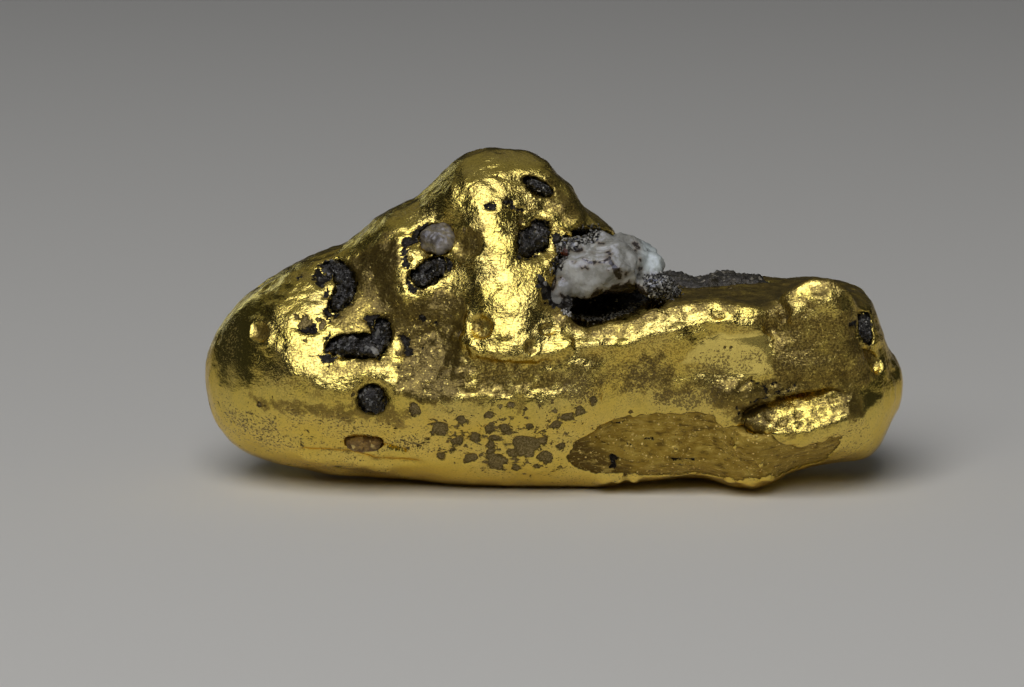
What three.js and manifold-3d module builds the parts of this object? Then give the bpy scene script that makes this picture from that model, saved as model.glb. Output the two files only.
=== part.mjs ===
// A water-worn gold nugget with grains of quartz, ironstone, limonite and jasper caught in its pockets.
// Millimetres, +Z up. The nugget rests on its worn belly at z = 0 with its long axis along X,
// and its best face looks along -Y. The origin is the middle of its footprint.
import * as THREE from "three";
import { ImprovedNoise } from "three/addons/math/ImprovedNoise.js";
import { mergeVertices } from "three/addons/utils/BufferGeometryUtils.js";
import Module from "manifold-3d";

const wasm = await Module();
wasm.setup();

// ---- Driving dimensions ----
const ringCount = 56; // sections from end to end
const sideCount = 50; // points round each section
const frontCrowding = 0.3; // draws those points towards the front, where the relief is finest
const shoulderHeight = 6.5; // above this height the body thins towards the peak
const peakHeight = 16.9;
const peakThinning = 0.52; // share of the thickness lost at the top of the peak
const bodyFullness = 0.72; // 1 is an elliptical section, less is boxier
const armFullness = 0.5; // the arm, beyond x = 4, is boxier
const bellyDrop = 0.95; // how far the belly is pushed down before it is worn flat
const bellyMiddle = 1.1; // the worn flat lies a little behind the middle
const bellyReach = 3.2;
const pocketGap = 0.12; // clearance between a grain and the gold round it

// Sections from the blunt end to the knob: x, top, bottom, reach to the front, reach to the back.
const sections = [
  [-17.5, 5.5, 5.5, 0, 0],
  [-17.25, 6.8, 4.4, 1.6, 1.5],
  [-16.7, 7.9, 3.4, 2.7, 2.5],
  [-15.7, 9.2, 2.5, 3.8, 3.5],
  [-14.4, 10.2, 1.9, 4.8, 4.5],
  [-12.9, 11.1, 1.5, 5.5, 5.2],
  [-11.4, 11.7, 1.2, 5.9, 5.7],
  [-10.5, 12.0, 1.1, 6.0, 5.9],
  [-9.8, 12.5, 1.1, 6.1, 6.0],
  [-9.0, 13.3, 1.0, 6.2, 6.2],
  [-7.9, 14.0, 0.9, 6.3, 6.4],
  [-6.7, 14.5, 0.8, 6.4, 6.6],
  [-6.0, 15.2, 0.7, 6.5, 6.7],
  [-5.2, 16.1, 0.6, 6.6, 6.8],
  [-4.3, 16.7, 0.5, 6.7, 6.9],
  [-3.0, 16.9, 0.4, 6.7, 7.0],
  [-1.8, 16.8, 0.3, 6.7, 7.0],
  [-0.7, 16.5, 0.3, 6.6, 6.9],
  [0.1, 15.7, 0.3, 6.4, 6.8],
  [0.8, 15.1, 0.3, 6.3, 6.7],
  [1.4, 14.0, 0.3, 6.2, 6.5],
  [1.9, 13.5, 0.3, 6.1, 6.3],
  [2.6, 13.2, 0.3, 6.0, 6.1],
  [3.0, 12.7, 0.5, 6.0, 6.0],
  [3.7, 11.6, 0.7, 6.0, 5.9],
  [4.8, 10.8, 0.8, 6.0, 5.9],
  [6.2, 10.2, 0.9, 6.1, 5.9],
  [7.6, 10.1, 0.9, 6.1, 5.9],
  [9.0, 10.2, 0.4, 6.1, 5.9],
  [10.4, 10.2, 0.4, 6.0, 5.8],
  [11.5, 10.1, 1.1, 5.9, 5.7],
  [12.6, 10.2, 1.5, 5.8, 5.5],
  [13.8, 10.0, 1.7, 5.6, 5.2],
  [14.9, 9.9, 1.8, 5.1, 4.8],
  [15.6, 9.6, 1.9, 4.5, 4.2],
  [16.2, 8.3, 2.5, 3.8, 3.5],
  [16.6, 7.1, 3.3, 3.2, 2.9],
  [16.95, 6.2, 4.0, 2.6, 2.3],
  [17.35, 6.0, 4.5, 1.5, 1.4],
  [17.5, 5.3, 5.3, 0, 0],
];

// Ridges (height over 0) and hollows (under 0): points [x, z] along the crest, half-width and height.
const frontRelief = [
  // the low swell that the face leans back from
  { path: [[-15.0, 5.2], [-12.5, 5.4], [-9.5, 5.3], [-6.4, 5.3]], reach: 1.6, height: 0.55 },
  { path: [[-4.6, 4.9], [-1.0, 4.9], [1.0, 5.1]], reach: 1.5, height: 1.1 },
  // the peak's buttress and the lip at its foot
  { path: [[-3.4, 15.4], [-3.2, 14.4], [-3.1, 13.4], [-2.9, 12.0], [-2.5, 10.4], [-2.1, 9.0]],
    reach: 1.7, height: 0.85 },
  { path: [[-4.2, 8.1], [-3.2, 7.9], [-1.7, 7.7], [0.0, 7.9]], reach: 0.8, height: 0.55 },
  // scoops on both sides of the buttress
  { path: [[-4.9, 11.9], [-5.4, 13.0]], reach: 1.0, height: -0.6 },
  { path: [[-0.9, 13.8], [-0.5, 12.5]], reach: 0.9, height: -0.6 },
  { path: [[-5.4, 10.0], [-5.3, 8.6]], reach: 1.1, height: -0.7 },
  { path: [[-8.0, 8.3], [-6.2, 7.7]], reach: 1.0, height: -0.35 },
  // valley between the blunt end and the peak, and the rib beside it
  { path: [[-10.2, 11.8], [-8.9, 10.5], [-7.9, 9.2]], reach: 1.4, height: -0.8 },
  { path: [[-7.8, 13.6], [-7.5, 12.0], [-7.0, 10.2]], reach: 0.9, height: 0.45 },
  // crown of the blunt end, and its thumb-mark
  { path: [[-13.2, 7.8], [-12.2, 6.4], [-10.0, 6.2]], reach: 1.8, height: 0.6 },
  { path: [[-14.4, 8.6]], reach: 0.7, height: -0.25 },
  // shoulder ridge of the arm, the flat face under it and the groove that ends it
  { path: [[0.5, 7.2], [2.3, 7.1], [4.3, 7.8], [6.0, 8.4]], reach: 0.9, height: 0.5 },
  { path: [[6.4, 8.1], [8.0, 8.3], [9.6, 8.1]], reach: 1.1, height: 0.8 },
  { path: [[4.5, 9.4], [6.3, 9.9], [7.8, 9.9], [9.3, 9.9]], reach: 0.7, height: 0.6 },
  { path: [[10.7, 10.2], [10.8, 8.6]], reach: 0.6, height: -0.45 },
  // the squared end and its knob
  { path: [[12.4, 9.8], [14.2, 9.3]], reach: 1.1, height: 0.45 },
  { path: [[11.8, 8.3], [13.2, 8.2], [14.5, 8.0]], reach: 1.3, height: 0.6 },
  // rolled lips over and under the belly fold
  { path: [[9.2, 3.4], [11.3, 2.7], [13.1, 3.1], [14.8, 4.0], [15.8, 4.6]], reach: 0.9, height: 0.6 },
  { path: [[8.0, 5.6], [10.8, 6.1], [13.6, 6.6]], reach: 0.8, height: 0.35 },
  // long stained hollow low on the arm
  { path: [[1.3, 2.4], [3.0, 3.2], [5.3, 3.3], [7.8, 2.9]], reach: 1.1, height: -0.45 },
];
const backRelief = [
  { path: [[-13.0, 7.2], [-11.0, 6.2]], reach: 2.6, height: 0.6 },
  { path: [[-9.4, 10.8], [-8.4, 7.0], [-8.0, 3.6]], reach: 1.4, height: -0.8 },
  { path: [[-4.5, 14.0], [-3.4, 9.6], [-3.8, 5.4]], reach: 1.8, height: 0.5 },
  { path: [[-0.6, 12.4], [-0.2, 8.6]], reach: 1.2, height: -0.6 },
  { path: [[1.6, 6.6], [5.0, 5.2], [9.6, 6.4]], reach: 1.5, height: 0.5 },
  { path: [[4.4, 8.8], [6.8, 8.2]], reach: 1.1, height: -0.5 },
  { path: [[10.8, 8.8], [11.2, 5.6], [10.4, 3.0]], reach: 1.0, height: -0.6 },
  { path: [[13.8, 7.4]], reach: 1.6, height: 0.4 },
  { path: [[-13.4, 3.2], [-10.4, 2.4]], reach: 1.1, height: -0.4 },
];

// Mineral colours and finishes.
const finishes = {
  gold: { color: "#cfae45", roughness: 0.35, metalness: 1 },
  quartz: { color: "#c9c8c2", roughness: 0.4, metalness: 0 },
  smokyQuartz: { color: "#8f8780", roughness: 0.35, metalness: 0 },
  ironstone: { color: "#1d1b1a", roughness: 0.45, metalness: 0 },
  limonite: { color: "#7a5a22", roughness: 0.7, metalness: 0 },
  jasper: { color: "#5a1a10", roughness: 0.4, metalness: 0 },
};

// Grains set in the front face: the middle line [x, z] of each, its half-width and half-depth,
// and how far that line lies inside the gold.
const grains = [
  { name: "quartz_small", finish: "smokyQuartz", width: 0.85, depth: 0.9, sink: 0.4,
    path: [[-5.85, 13.4], [-5.65, 12.2]] },
  { name: "ironstone_wedge", finish: "ironstone", width: 0.58, depth: 0.8, sink: 0.5,
    path: [[-7.0, 10.85], [-6.15, 11.35], [-5.3, 11.7]] },
  { name: "ironstone_hook", finish: "ironstone", width: 0.52, depth: 0.8, sink: 0.5,
    path: [[-11.6, 11.15], [-10.8, 11.1], [-10.25, 10.5], [-10.45, 9.9], [-11.1, 9.4]] },
  { name: "ironstone_elbow", finish: "ironstone", width: 0.55, depth: 0.8, sink: 0.5,
    path: [[-8.9, 9.2], [-8.5, 8.6], [-8.6, 8.05], [-9.3, 7.8], [-10.2, 7.9], [-11.3, 7.6]] },
  { name: "ironstone_bead", finish: "ironstone", width: 0.7, depth: 0.8, sink: 0.45,
    path: [[-9.5, 5.2], [-8.9, 5.45], [-8.3, 5.6]] },
  { name: "ironstone_eye", finish: "ironstone", width: 0.7, depth: 0.8, sink: 0.5,
    path: [[-0.7, 13.7], [-0.85, 13.0], [-1.7, 12.3]] },
  { name: "ironstone_sliver", finish: "ironstone", width: 0.3, depth: 0.5, sink: 0.3,
    path: [[-1.4, 15.6], [-0.9, 15.3], [-0.1, 14.9]] },
  { name: "ironstone_end", finish: "ironstone", width: 0.36, depth: 0.6, sink: 0.4,
    path: [[15.4, 9.1], [15.2, 8.5], [15.5, 7.8]] },
  { name: "limonite_pebble", finish: "limonite", width: 0.55, depth: 0.7, sink: 0.4,
    path: [[-10.3, 3.1], [-8.5, 3.0]] },
  { name: "jasper_grain", finish: "jasper", width: 0.36, depth: 0.5, sink: 0.25,
    path: [[0.35, 12.7], [0.7, 12.1]] },
];
const grainSides = 8;
const grainRings = 8;

// The quartz chunk wedged between the peak and the arm. The bowl opens the gold in front of it, the gap is
// the dark space under it, and the underside hollows the chunk itself.
const chunk = { at: [2.9, -2.1, 10.8], size: [3.4, 3.1, 1.9], lean: 0.5, seed: 7, rough: 0.12, detail: 3 };
const bowl = { at: [3.0, -5.6, 11.1], size: [3.4, 3.0, 2.1], lean: 0.5, seed: 7, rough: 0.04, detail: 2 };
const gap = { at: [2.5, -3.4, 9.5], size: [2.6, 3.4, 0.9], lean: -0.12, seed: 21, rough: 0.06, detail: 2 };
const underside = { at: [3.6, -3.0, 8.5], size: [4.2, 4.4, 1.6], lean: -0.1, seed: 21, rough: 0.06, detail: 2 };

// Ironstone crust along the top of the arm: [x, y] of its middle line, half-height and half-width.
const crust = { path: [[4.9, 0.6], [6.6, 0.2], [8.4, 0.9], [10.9, 0.5]], height: 0.62, width: 1.5, sink: 0.2 };

// Open hollows with no grain in them, on the front: the same measures as a grain.
const hollows = [
  { path: [[8.8, 3.9], [10.8, 4.5], [12.4, 4.9], [14.4, 5.4]], width: 0.85, depth: 1.7, sink: 0.1 }, // belly fold
  { path: [[15.6, 7.2], [16.1, 6.3]], width: 0.4, depth: 0.6, sink: 0.1 }, // in the squared end
];

// ---- Shapes ----
const noise = new ImprovedNoise();

// Height that the ridges and hollows add at (x, z) on one face.
function reliefAt(strokes, x, z) {
  const here = new THREE.Vector3(x, 0, z);
  const nearest = new THREE.Vector3();
  let sum = 0;
  for (const { path, reach, height } of strokes) {
    const points = path.map(([px, pz]) => new THREE.Vector3(px, 0, pz));
    let distance = points[0].distanceTo(here);
    for (let i = 1; i < points.length; i++) {
      new THREE.Line3(points[i - 1], points[i]).closestPointToPoint(here, true, nearest);
      distance = Math.min(distance, nearest.distanceTo(here));
    }
    sum += height * Math.exp(-((distance / reach) ** 2));
  }
  return sum;
}

// One smooth curve through a column of the section table, against x.
const sectionLine = (column) =>
  new THREE.SplineCurve(sections.map((row) => new THREE.Vector2(row[0], row[column])));

// Angle round a section for a share of the way round: from straight back, under the belly and up the front.
const angleRound = (share) =>
  -2 * Math.PI * share - frontCrowding * Math.sin(2 * Math.PI * share);

// The gold before its pockets are cut: a loft through the sections, embossed front and back.
function lobedBody() {
  const [topLine, bottomLine, frontLine, backLine] = [1, 2, 3, 4].map(sectionLine);
  const geometry = new THREE.SphereGeometry(1, sideCount, ringCount);
  const { position, uv } = geometry.attributes;
  for (let i = 0; i < position.count; i++) {
    const along = topLine.getUtoTmapping(THREE.MathUtils.clamp(1 - uv.getY(i), 0, 1));
    const angle = angleRound(uv.getX(i) % 1);
    const { x, y: top } = topLine.getPoint(along);
    const bottom = bottomLine.getPoint(along).y;
    const sideways = Math.cos(angle);
    const upwards = Math.sin(angle);
    const strokes = sideways < 0 ? frontRelief : backRelief;
    const reach = Math.max((sideways < 0 ? frontLine : backLine).getPoint(along).y, 0);
    let z = (top + bottom) / 2 + ((top - bottom) / 2) * upwards;
    const thinning = 1 - peakThinning * THREE.MathUtils.smoothstep(z, shoulderHeight, peakHeight + 1);
    const facing = THREE.MathUtils.smoothstep(Math.abs(sideways), 0, 0.6);
    const endFade = Math.min(1, reach / 3);
    const roll = 0.28 * noise.noise(x / 3.1, 5 * Math.sign(sideways), z / 3.1) +
      0.12 * noise.noise(x / 1.3, 9 * Math.sign(sideways), z / 1.3);
    const fullness = THREE.MathUtils.lerp(bodyFullness, armFullness, THREE.MathUtils.smoothstep(x, 1, 4));
    const depth = reach * thinning * Math.abs(sideways) ** fullness +
      facing * endFade * (reliefAt(strokes, x, z) + roll);
    const y = Math.sign(sideways) * depth;
    const belly = bellyDrop * Math.exp(-(((y - bellyMiddle) / bellyReach) ** 2));
    z -= endFade * belly * THREE.MathUtils.smoothstep(-upwards, 0.2, 1);
    position.setXYZ(i, x, y, Math.max(z, 0));
  }
  return geometry;
}

// A rough ball pushed in and out by noise.
function lump({ at, size, lean, seed, rough, detail }, swell = 0) {
  const geometry = new THREE.IcosahedronGeometry(1, detail);
  const { position } = geometry.attributes;
  const point = new THREE.Vector3();
  for (let i = 0; i < position.count; i++) {
    point.fromBufferAttribute(position, i);
    const wide = noise.noise(point.x * 1.4 + seed, point.y * 1.4, point.z * 1.4);
    const fine = noise.noise(point.x * 3.4, point.y * 3.4 + seed, point.z * 3.4);
    point.multiplyScalar(1 + rough * (1.6 * wide + 0.8 * fine));
    position.setXYZ(i, ...size.map((half, k) => point.getComponent(k) * (half + swell)));
  }
  return geometry.rotateY(lean).translate(...at);
}

// A grain bent along a line: width is across the line in the XZ plane, depth is along Y.
function bentGrain(points, width, depth, seed) {
  const line = new THREE.CatmullRomCurve3(points);
  const geometry = new THREE.SphereGeometry(1, grainSides, grainRings);
  const { position, uv } = geometry.attributes;
  const length = line.getLength();
  for (let i = 0; i < position.count; i++) {
    const share = 1 - uv.getY(i);
    const turn = (uv.getX(i) % 1) * 2 * Math.PI;
    const round = Math.sqrt(Math.max(0, 1 - (2 * share - 1) ** 2));
    const middle = line.getPointAt(THREE.MathUtils.clamp(share, 0, 1));
    const forward = line.getTangentAt(THREE.MathUtils.clamp(share, 0, 1));
    const across = new THREE.Vector3(-forward.z, 0, forward.x).normalize();
    const uneven = 1 + 0.45 * noise.noise(seed + share * length * 1.1, Math.cos(turn), Math.sin(turn));
    const wide = width * round ** 0.7 * uneven;
    const deep = depth * round ** 0.7 * uneven;
    middle.addScaledVector(across, wide * Math.cos(turn));
    middle.y += deep * Math.sin(turn);
    position.setXYZ(i, middle.x, middle.y, middle.z);
  }
  return geometry;
}

// ---- Solids ----
function toSolid(geometry) {
  const bare = geometry.clone();
  bare.deleteAttribute("normal");
  bare.deleteAttribute("uv");
  const merged = mergeVertices(bare, 1e-4);
  return new wasm.Manifold(new wasm.Mesh({
    numProp: 3,
    vertProperties: new Float32Array(merged.attributes.position.array),
    triVerts: new Uint32Array(merged.index.array),
  }));
}

function toGeometry(solid) {
  const { numProp, vertProperties, triVerts } = solid.getMesh();
  const corners = new Float32Array(triVerts.length * 3);
  triVerts.forEach((v, i) => corners.set(vertProperties.subarray(v * numProp, v * numProp + 3), i * 3));
  return new THREE.BufferGeometry().setAttribute("position", new THREE.BufferAttribute(corners, 3));
}

const largest = (solid) =>
  solid.decompose().reduce((best, next) => (next.volume() > best.volume() ? next : best));

// ---- Placing the grains on the gold ----
const bodyGeometry = lobedBody();
const probeMesh = new THREE.Mesh(bodyGeometry, new THREE.MeshBasicMaterial({ side: THREE.DoubleSide }));
const probe = new THREE.Raycaster();

// Y of the front face at (x, z), and Z of the top at (x, y).
function frontAt(x, z) {
  probe.set(new THREE.Vector3(x, -30, z), new THREE.Vector3(0, 1, 0));
  return probe.intersectObject(probeMesh)[0].point.y;
}
function topAt(x, y) {
  probe.set(new THREE.Vector3(x, y, 40), new THREE.Vector3(0, 0, -1));
  return probe.intersectObject(probeMesh)[0].point.z;
}

// Solids of a grain or hollow in the front, and of the crust. Swell makes the cutter for a pocket.
function frontSolid({ path, width, depth, sink }, seed, swell) {
  const points = path.map(([x, z]) => new THREE.Vector3(x, frontAt(x, z) + sink, z));
  return toSolid(bentGrain(stretched(points, swell), width + swell, depth + swell, seed));
}
function crustSolid(swell) {
  const points = crust.path.map(([x, y]) => new THREE.Vector3(x, y, topAt(x, y) - crust.sink));
  return toSolid(bentGrain(stretched(points, swell), crust.height + swell, crust.width + swell, 31));
}

// The line made longer by a swell at both ends.
function stretched(points, swell) {
  const [first, last] = [points[0], points.at(-1)];
  const outwards = (end, next) => end.clone().addScaledVector(end.clone().sub(next).normalize(), swell);
  return [outwards(first, points[1]), ...points.slice(1, -1), outwards(last, points.at(-2))];
}

const gapCutter = toSolid(lump(gap));
const chunkPocket = toSolid(lump(chunk, pocketGap));
let gold = toSolid(bodyGeometry).subtract(chunkPocket).subtract(toSolid(lump(bowl))).subtract(gapCutter);
gold = gold.subtract(crustSolid(pocketGap));
hollows.forEach((hollow, i) => {
  gold = gold.subtract(frontSolid(hollow, 60 + i, 0));
});

const pieces = [
  ["quartz_chunk", "quartz", toSolid(lump(chunk)).subtract(gapCutter).subtract(toSolid(lump(underside)))],
  ["ironstone_crust", "ironstone", crustSolid(0).subtract(chunkPocket)],
];
grains.forEach((grain, i) => {
  const seed = 3 + i * 5.3;
  gold = gold.subtract(frontSolid(grain, seed, pocketGap));
  pieces.push([grain.name, grain.finish, frontSolid(grain, seed, 0).subtract(chunkPocket)]);
});
pieces.unshift(["gold_body", "gold", gold]);

// ---- The nugget, moved so that its footprint's middle is the origin ----
const nugget = new THREE.Group();
nugget.name = "gold_nugget";
for (const [name, finish, solid] of pieces) {
  const mesh = new THREE.Mesh(toGeometry(largest(solid)), new THREE.MeshStandardMaterial(finishes[finish]));
  mesh.name = name;
  nugget.add(mesh);
}
const box = new THREE.Box3().setFromObject(nugget);
const middle = box.getCenter(new THREE.Vector3());
nugget.children.forEach((mesh) => mesh.position.set(-middle.x, -middle.y, -box.min.z));

export default nugget;
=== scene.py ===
import math

import bmesh
import bpy
import numpy as np
from mathutils import Matrix, Vector
from mathutils.bvhtree import BVHTree


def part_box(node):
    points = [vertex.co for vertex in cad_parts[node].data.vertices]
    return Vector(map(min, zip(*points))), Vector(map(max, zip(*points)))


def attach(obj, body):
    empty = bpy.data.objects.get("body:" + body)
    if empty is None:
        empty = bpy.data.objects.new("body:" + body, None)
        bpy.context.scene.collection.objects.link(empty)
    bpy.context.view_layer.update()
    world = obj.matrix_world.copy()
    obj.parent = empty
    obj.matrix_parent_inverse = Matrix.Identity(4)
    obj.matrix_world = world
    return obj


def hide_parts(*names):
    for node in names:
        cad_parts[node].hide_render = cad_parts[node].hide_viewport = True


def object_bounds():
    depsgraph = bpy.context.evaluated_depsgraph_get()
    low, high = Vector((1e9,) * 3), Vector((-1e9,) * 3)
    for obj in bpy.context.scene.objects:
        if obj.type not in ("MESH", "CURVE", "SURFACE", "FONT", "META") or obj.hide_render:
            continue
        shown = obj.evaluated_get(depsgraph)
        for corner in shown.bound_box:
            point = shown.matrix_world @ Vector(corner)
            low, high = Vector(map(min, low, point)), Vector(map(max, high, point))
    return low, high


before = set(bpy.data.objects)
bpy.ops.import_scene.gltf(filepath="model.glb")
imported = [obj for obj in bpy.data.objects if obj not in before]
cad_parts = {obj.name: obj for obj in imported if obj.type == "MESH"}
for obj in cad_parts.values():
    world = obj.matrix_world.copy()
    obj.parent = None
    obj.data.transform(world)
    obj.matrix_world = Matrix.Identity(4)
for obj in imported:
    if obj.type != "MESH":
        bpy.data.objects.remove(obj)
cadBox = [list(corner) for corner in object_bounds()]
mm = 0.001
body = "root"
lowest, highest = (np.array(corner) / mm for corner in cadBox)

stage = {
    "elevation": 10.0,          # degrees above the horizon
    "lens": 180.0,
    "sensor": 36.0,
    "viewWidth": 51.2,          # mm across the picture at the nugget
    "aim": (-2.1, 0.0, 7.08),   # mm
    "lightsAim": (0.0, 0.0, 7.0),
    "floorSize": 3000.0,        # mm
    "floorColour": (0.77, 0.76, 0.74, 1),
    "floorRoughness": 0.9,
    "floorShine": 0.1,
    "worldColour": (0.025, 0.027, 0.03, 1),
}
softboxes = [
    # name, azimuth, elevation, distance, width, height (mm), watts, tint, mirrored, lights matt surfaces
    ("keySoftbox", -8, 62, 300, 340, 290, 0.92, (0.94, 1.0, 1.3), True, False),
    ("topSoftbox", 172, 58, 420, 620, 480, 0.125, (1.0, 1.0, 1.0), True, False),
    ("rimSoftbox", -156, 8, 320, 60, 120, 0.03, (0.72, 0.86, 1.0), True, False),
    ("floorFill", -12, 42, 600, 400, 400, 2.5, (1.0, 0.99, 0.97), False, True),
]


def placed(name, data):
    # a new object in the scene
    made = bpy.data.objects.new(name, data)
    bpy.context.scene.collection.objects.link(made)
    return made


def meshFrom(work, name):
    mesh = bpy.data.meshes.new(name)
    work.to_mesh(mesh)
    work.free()
    return mesh


def pointAt(thing, aim, azimuth, elevation, distance):
    # azimuth 0 is in front of the nugget, on the camera's side
    a, e = math.radians(azimuth), math.radians(elevation)
    aim = Vector(aim)
    place = aim + Vector((math.sin(a) * math.cos(e), -math.cos(a) * math.cos(e), math.sin(e))) * distance
    thing.location = place * mm
    thing.rotation_euler = (aim - place).to_track_quat("-Z", "Y").to_euler()


def makeCamera():
    data = bpy.data.cameras.new("camera")
    data.lens = stage["lens"]
    data.sensor_width = stage["sensor"]
    data.clip_start = 0.01
    data.clip_end = 20
    camera = placed("camera", data)
    distance = stage["viewWidth"] * stage["lens"] / stage["sensor"]
    pointAt(camera, stage["aim"], 0, stage["elevation"], distance)
    bpy.context.scene.camera = camera


def makeSoftbox(name, azimuth, elevation, distance, width, height, watts, tint, mirrored, diffuse):
    data = bpy.data.lights.new(name, "AREA")
    data.shape = "RECTANGLE"
    data.size = width * mm
    data.size_y = height * mm
    data.energy = watts
    data.color = tint
    light = placed(name, data)
    pointAt(light, stage["lightsAim"], azimuth, elevation, distance)
    light.visible_glossy = mirrored
    light.visible_diffuse = diffuse


def makeStage():
    work = bmesh.new()
    bmesh.ops.create_grid(work, x_segments=2, y_segments=2, size=stage["floorSize"] / 2 * mm)
    floor = placed("floor", meshFrom(work, "floor"))
    material = bpy.data.materials.new("floorPaper")
    material.use_nodes = True
    shader = material.node_tree.nodes["Principled BSDF"]
    shader.inputs["Base Color"].default_value = stage["floorColour"]
    shader.inputs["Roughness"].default_value = stage["floorRoughness"]
    shader.inputs["Specular IOR Level"].default_value = stage["floorShine"]
    floor.data.materials.append(material)
    world = bpy.data.worlds.new("studio")
    world.use_nodes = True
    world.node_tree.nodes["Background"].inputs["Color"].default_value = stage["worldColour"]
    bpy.context.scene.world = world
    for softbox in softboxes:
        makeSoftbox(*softbox)


makeCamera()
makeStage()
bpy.context.scene.view_settings.view_transform = "Standard"
print("stage ready")


# Every piece is worked in millimetres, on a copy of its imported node, and brought back to metres at the end.
def workingCopy(nodeName, pieceName):
    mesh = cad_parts[nodeName].data.copy()
    mesh.materials.clear()
    work = bmesh.new()
    work.from_mesh(mesh)
    bmesh.ops.scale(work, vec=(1 / mm,) * 3, verts=work.verts)
    bmesh.ops.remove_doubles(work, verts=work.verts, dist=0.001)
    bmesh.ops.recalc_face_normals(work, faces=work.faces)
    work.to_mesh(mesh)
    work.free()
    return placed(pieceName, mesh)


def finishPiece(piece, material, slot, *nodes):
    # back to metres, smooth shading, and in the nodes' place
    piece.data.transform(Matrix.Diagonal((mm, mm, mm, 1)))
    piece.data.shade_smooth()
    piece.data.materials.clear()
    piece.data.materials.append(material)
    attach(piece, body)
    if nodes:
        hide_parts(*nodes)


def voxelRemesh(piece, voxel):
    remesh = piece.modifiers.new("remesh", "REMESH")
    remesh.mode = "VOXEL"
    remesh.voxel_size = voxel
    graph = bpy.context.evaluated_depsgraph_get()
    mesh = bpy.data.meshes.new_from_object(piece.evaluated_get(graph))
    piece.modifiers.clear()
    piece.data = mesh


def smoothed(piece, rounds, chosen=None):
    work = bmesh.new()
    work.from_mesh(piece.data)
    verts = work.verts if chosen is None else [v for v, keep in zip(work.verts, chosen) if keep]
    axes = {"use_axis_x": True, "use_axis_y": True, "use_axis_z": True}
    for _ in range(rounds):
        bmesh.ops.smooth_vert(work, verts=verts, factor=0.5, **axes)
    work.to_mesh(piece.data)
    work.free()


def vectorsOf(collection, field):
    flat = np.empty(len(collection) * 3)
    collection.foreach_get(field, flat)
    return flat.reshape(-1, 3)


def pointsOf(piece):
    return vectorsOf(piece.data.vertices, "co")


def surfaceOf(piece):
    return pointsOf(piece), vectorsOf(piece.data.vertex_normals, "vector")


def movePoints(piece, points):
    piece.data.vertices.foreach_set("co", points.ravel())
    piece.data.update()


def saveMasks(piece, masks):
    # point attributes that the materials read
    for name, values in masks.items():
        layer = piece.data.attributes.new(name, "FLOAT", "POINT")
        layer.data.foreach_set("value", np.clip(values, 0, 1.2).astype(np.float32))


def searchTree(mesh):
    # for distances and rays, in millimetres
    return BVHTree.FromPolygons([v.co / mm for v in mesh.vertices], [p.vertices for p in mesh.polygons])


def smoothStep(low, high, values):
    t = np.clip((values - low) / (high - low), 0, 1)
    return t * t * (3 - 2 * t)


latticeDraw = np.random.default_rng(7)
latticeSlopes = latticeDraw.normal(size=(4096, 3))
latticeSlopes /= np.linalg.norm(latticeSlopes, axis=1)[:, None]
latticePlaces = latticeDraw.random((4096, 3))
latticeShift = np.array([7.3, 3.1, 5.7])  # how far the pattern moves for each step of the seed


def latticeIndex(cells):
    # large primes scatter the cells over the 4096 entries
    x, y, z = cells[:, 0], cells[:, 1], cells[:, 2]
    return ((x * 73856093) ^ (y * 19349663) ^ (z * 83492791)) & 4095


def noiseAt(points, size, octaves, seed):
    # gradient noise, about -0.7 to 0.7, finer octaves half as strong
    total = np.zeros(len(points))
    for octave in range(octaves):
        place = points / size * 2**octave + latticeShift * (seed + octave * 11.7)
        cell = np.floor(place).astype(np.int64)
        part = place - cell
        fade = part**3 * (part * (part * 6 - 15) + 10)
        for corner in range(8):
            step = np.array([corner & 1, corner >> 1 & 1, corner >> 2 & 1])
            slope = latticeSlopes[latticeIndex(cell + step)]
            weight = np.prod(np.where(step, fade, 1 - fade), axis=1)
            total += 0.5**octave * weight * np.einsum("ij,ij->i", slope, part - step) * 1.6
    return total


def wobbleAt(points, size, octaves, seed):
    # two noises side by side, to bend lines and outlines with
    return np.stack([noiseAt(points, size, octaves, seed + number) for number in (0, 1)], axis=1)


def cellsAt(points, size, seed):
    # distance to the nearest and second nearest cell points
    place = points / size + latticeShift * seed
    cell = np.floor(place).astype(np.int64)
    near = np.full((len(points), 2), 9.0)
    for number in range(27):
        step = np.array([number % 3, number // 3 % 3, number // 9]) - 1
        away = np.linalg.norm(cell + step + latticePlaces[latticeIndex(cell + step)] - place, axis=1)
        closest = near[:, 0].copy()
        near[:, 0] = np.minimum(closest, away)
        near[:, 1] = np.minimum(near[:, 1], np.maximum(closest, away))
    return near


def lineDistance(flat, line):
    # flat is (count, 2) points x, z; line is a list of [x, z]
    line = [np.array(p, float) for p in line]
    if len(line) == 1:
        return np.linalg.norm(flat - line[0], axis=1)
    best = np.full(len(flat), 1e9)
    for start, end in zip(line[:-1], line[1:]):
        along = end - start
        share = np.clip(((flat - start) @ along) / (along @ along), 0, 1)
        best = np.minimum(best, np.linalg.norm(flat - start - share[:, None] * along, axis=1))
    return best


def insideOutline(flat, outline):
    # distance to a closed outline, positive inside
    away = lineDistance(flat, outline + outline[:1])
    inside = np.zeros(len(flat), bool)
    for (x1, z1), (x2, z2) in zip(outline, outline[1:] + outline[:1]):
        crosses = (z1 > flat[:, 1]) != (z2 > flat[:, 1])
        rise = z2 - z1 if z2 != z1 else 1e-9
        inside ^= crosses & (flat[:, 0] < (x2 - x1) * (flat[:, 1] - z1) / rise + x1)
    return np.where(inside, away, -away)


def acrossSight(points):
    # x, and height measured square to the camera's line of sight
    tilt = math.radians(stage["elevation"])
    return np.stack([points[:, 0], points[:, 2] * math.cos(tilt) + points[:, 1] * math.sin(tilt)], axis=1)


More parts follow.
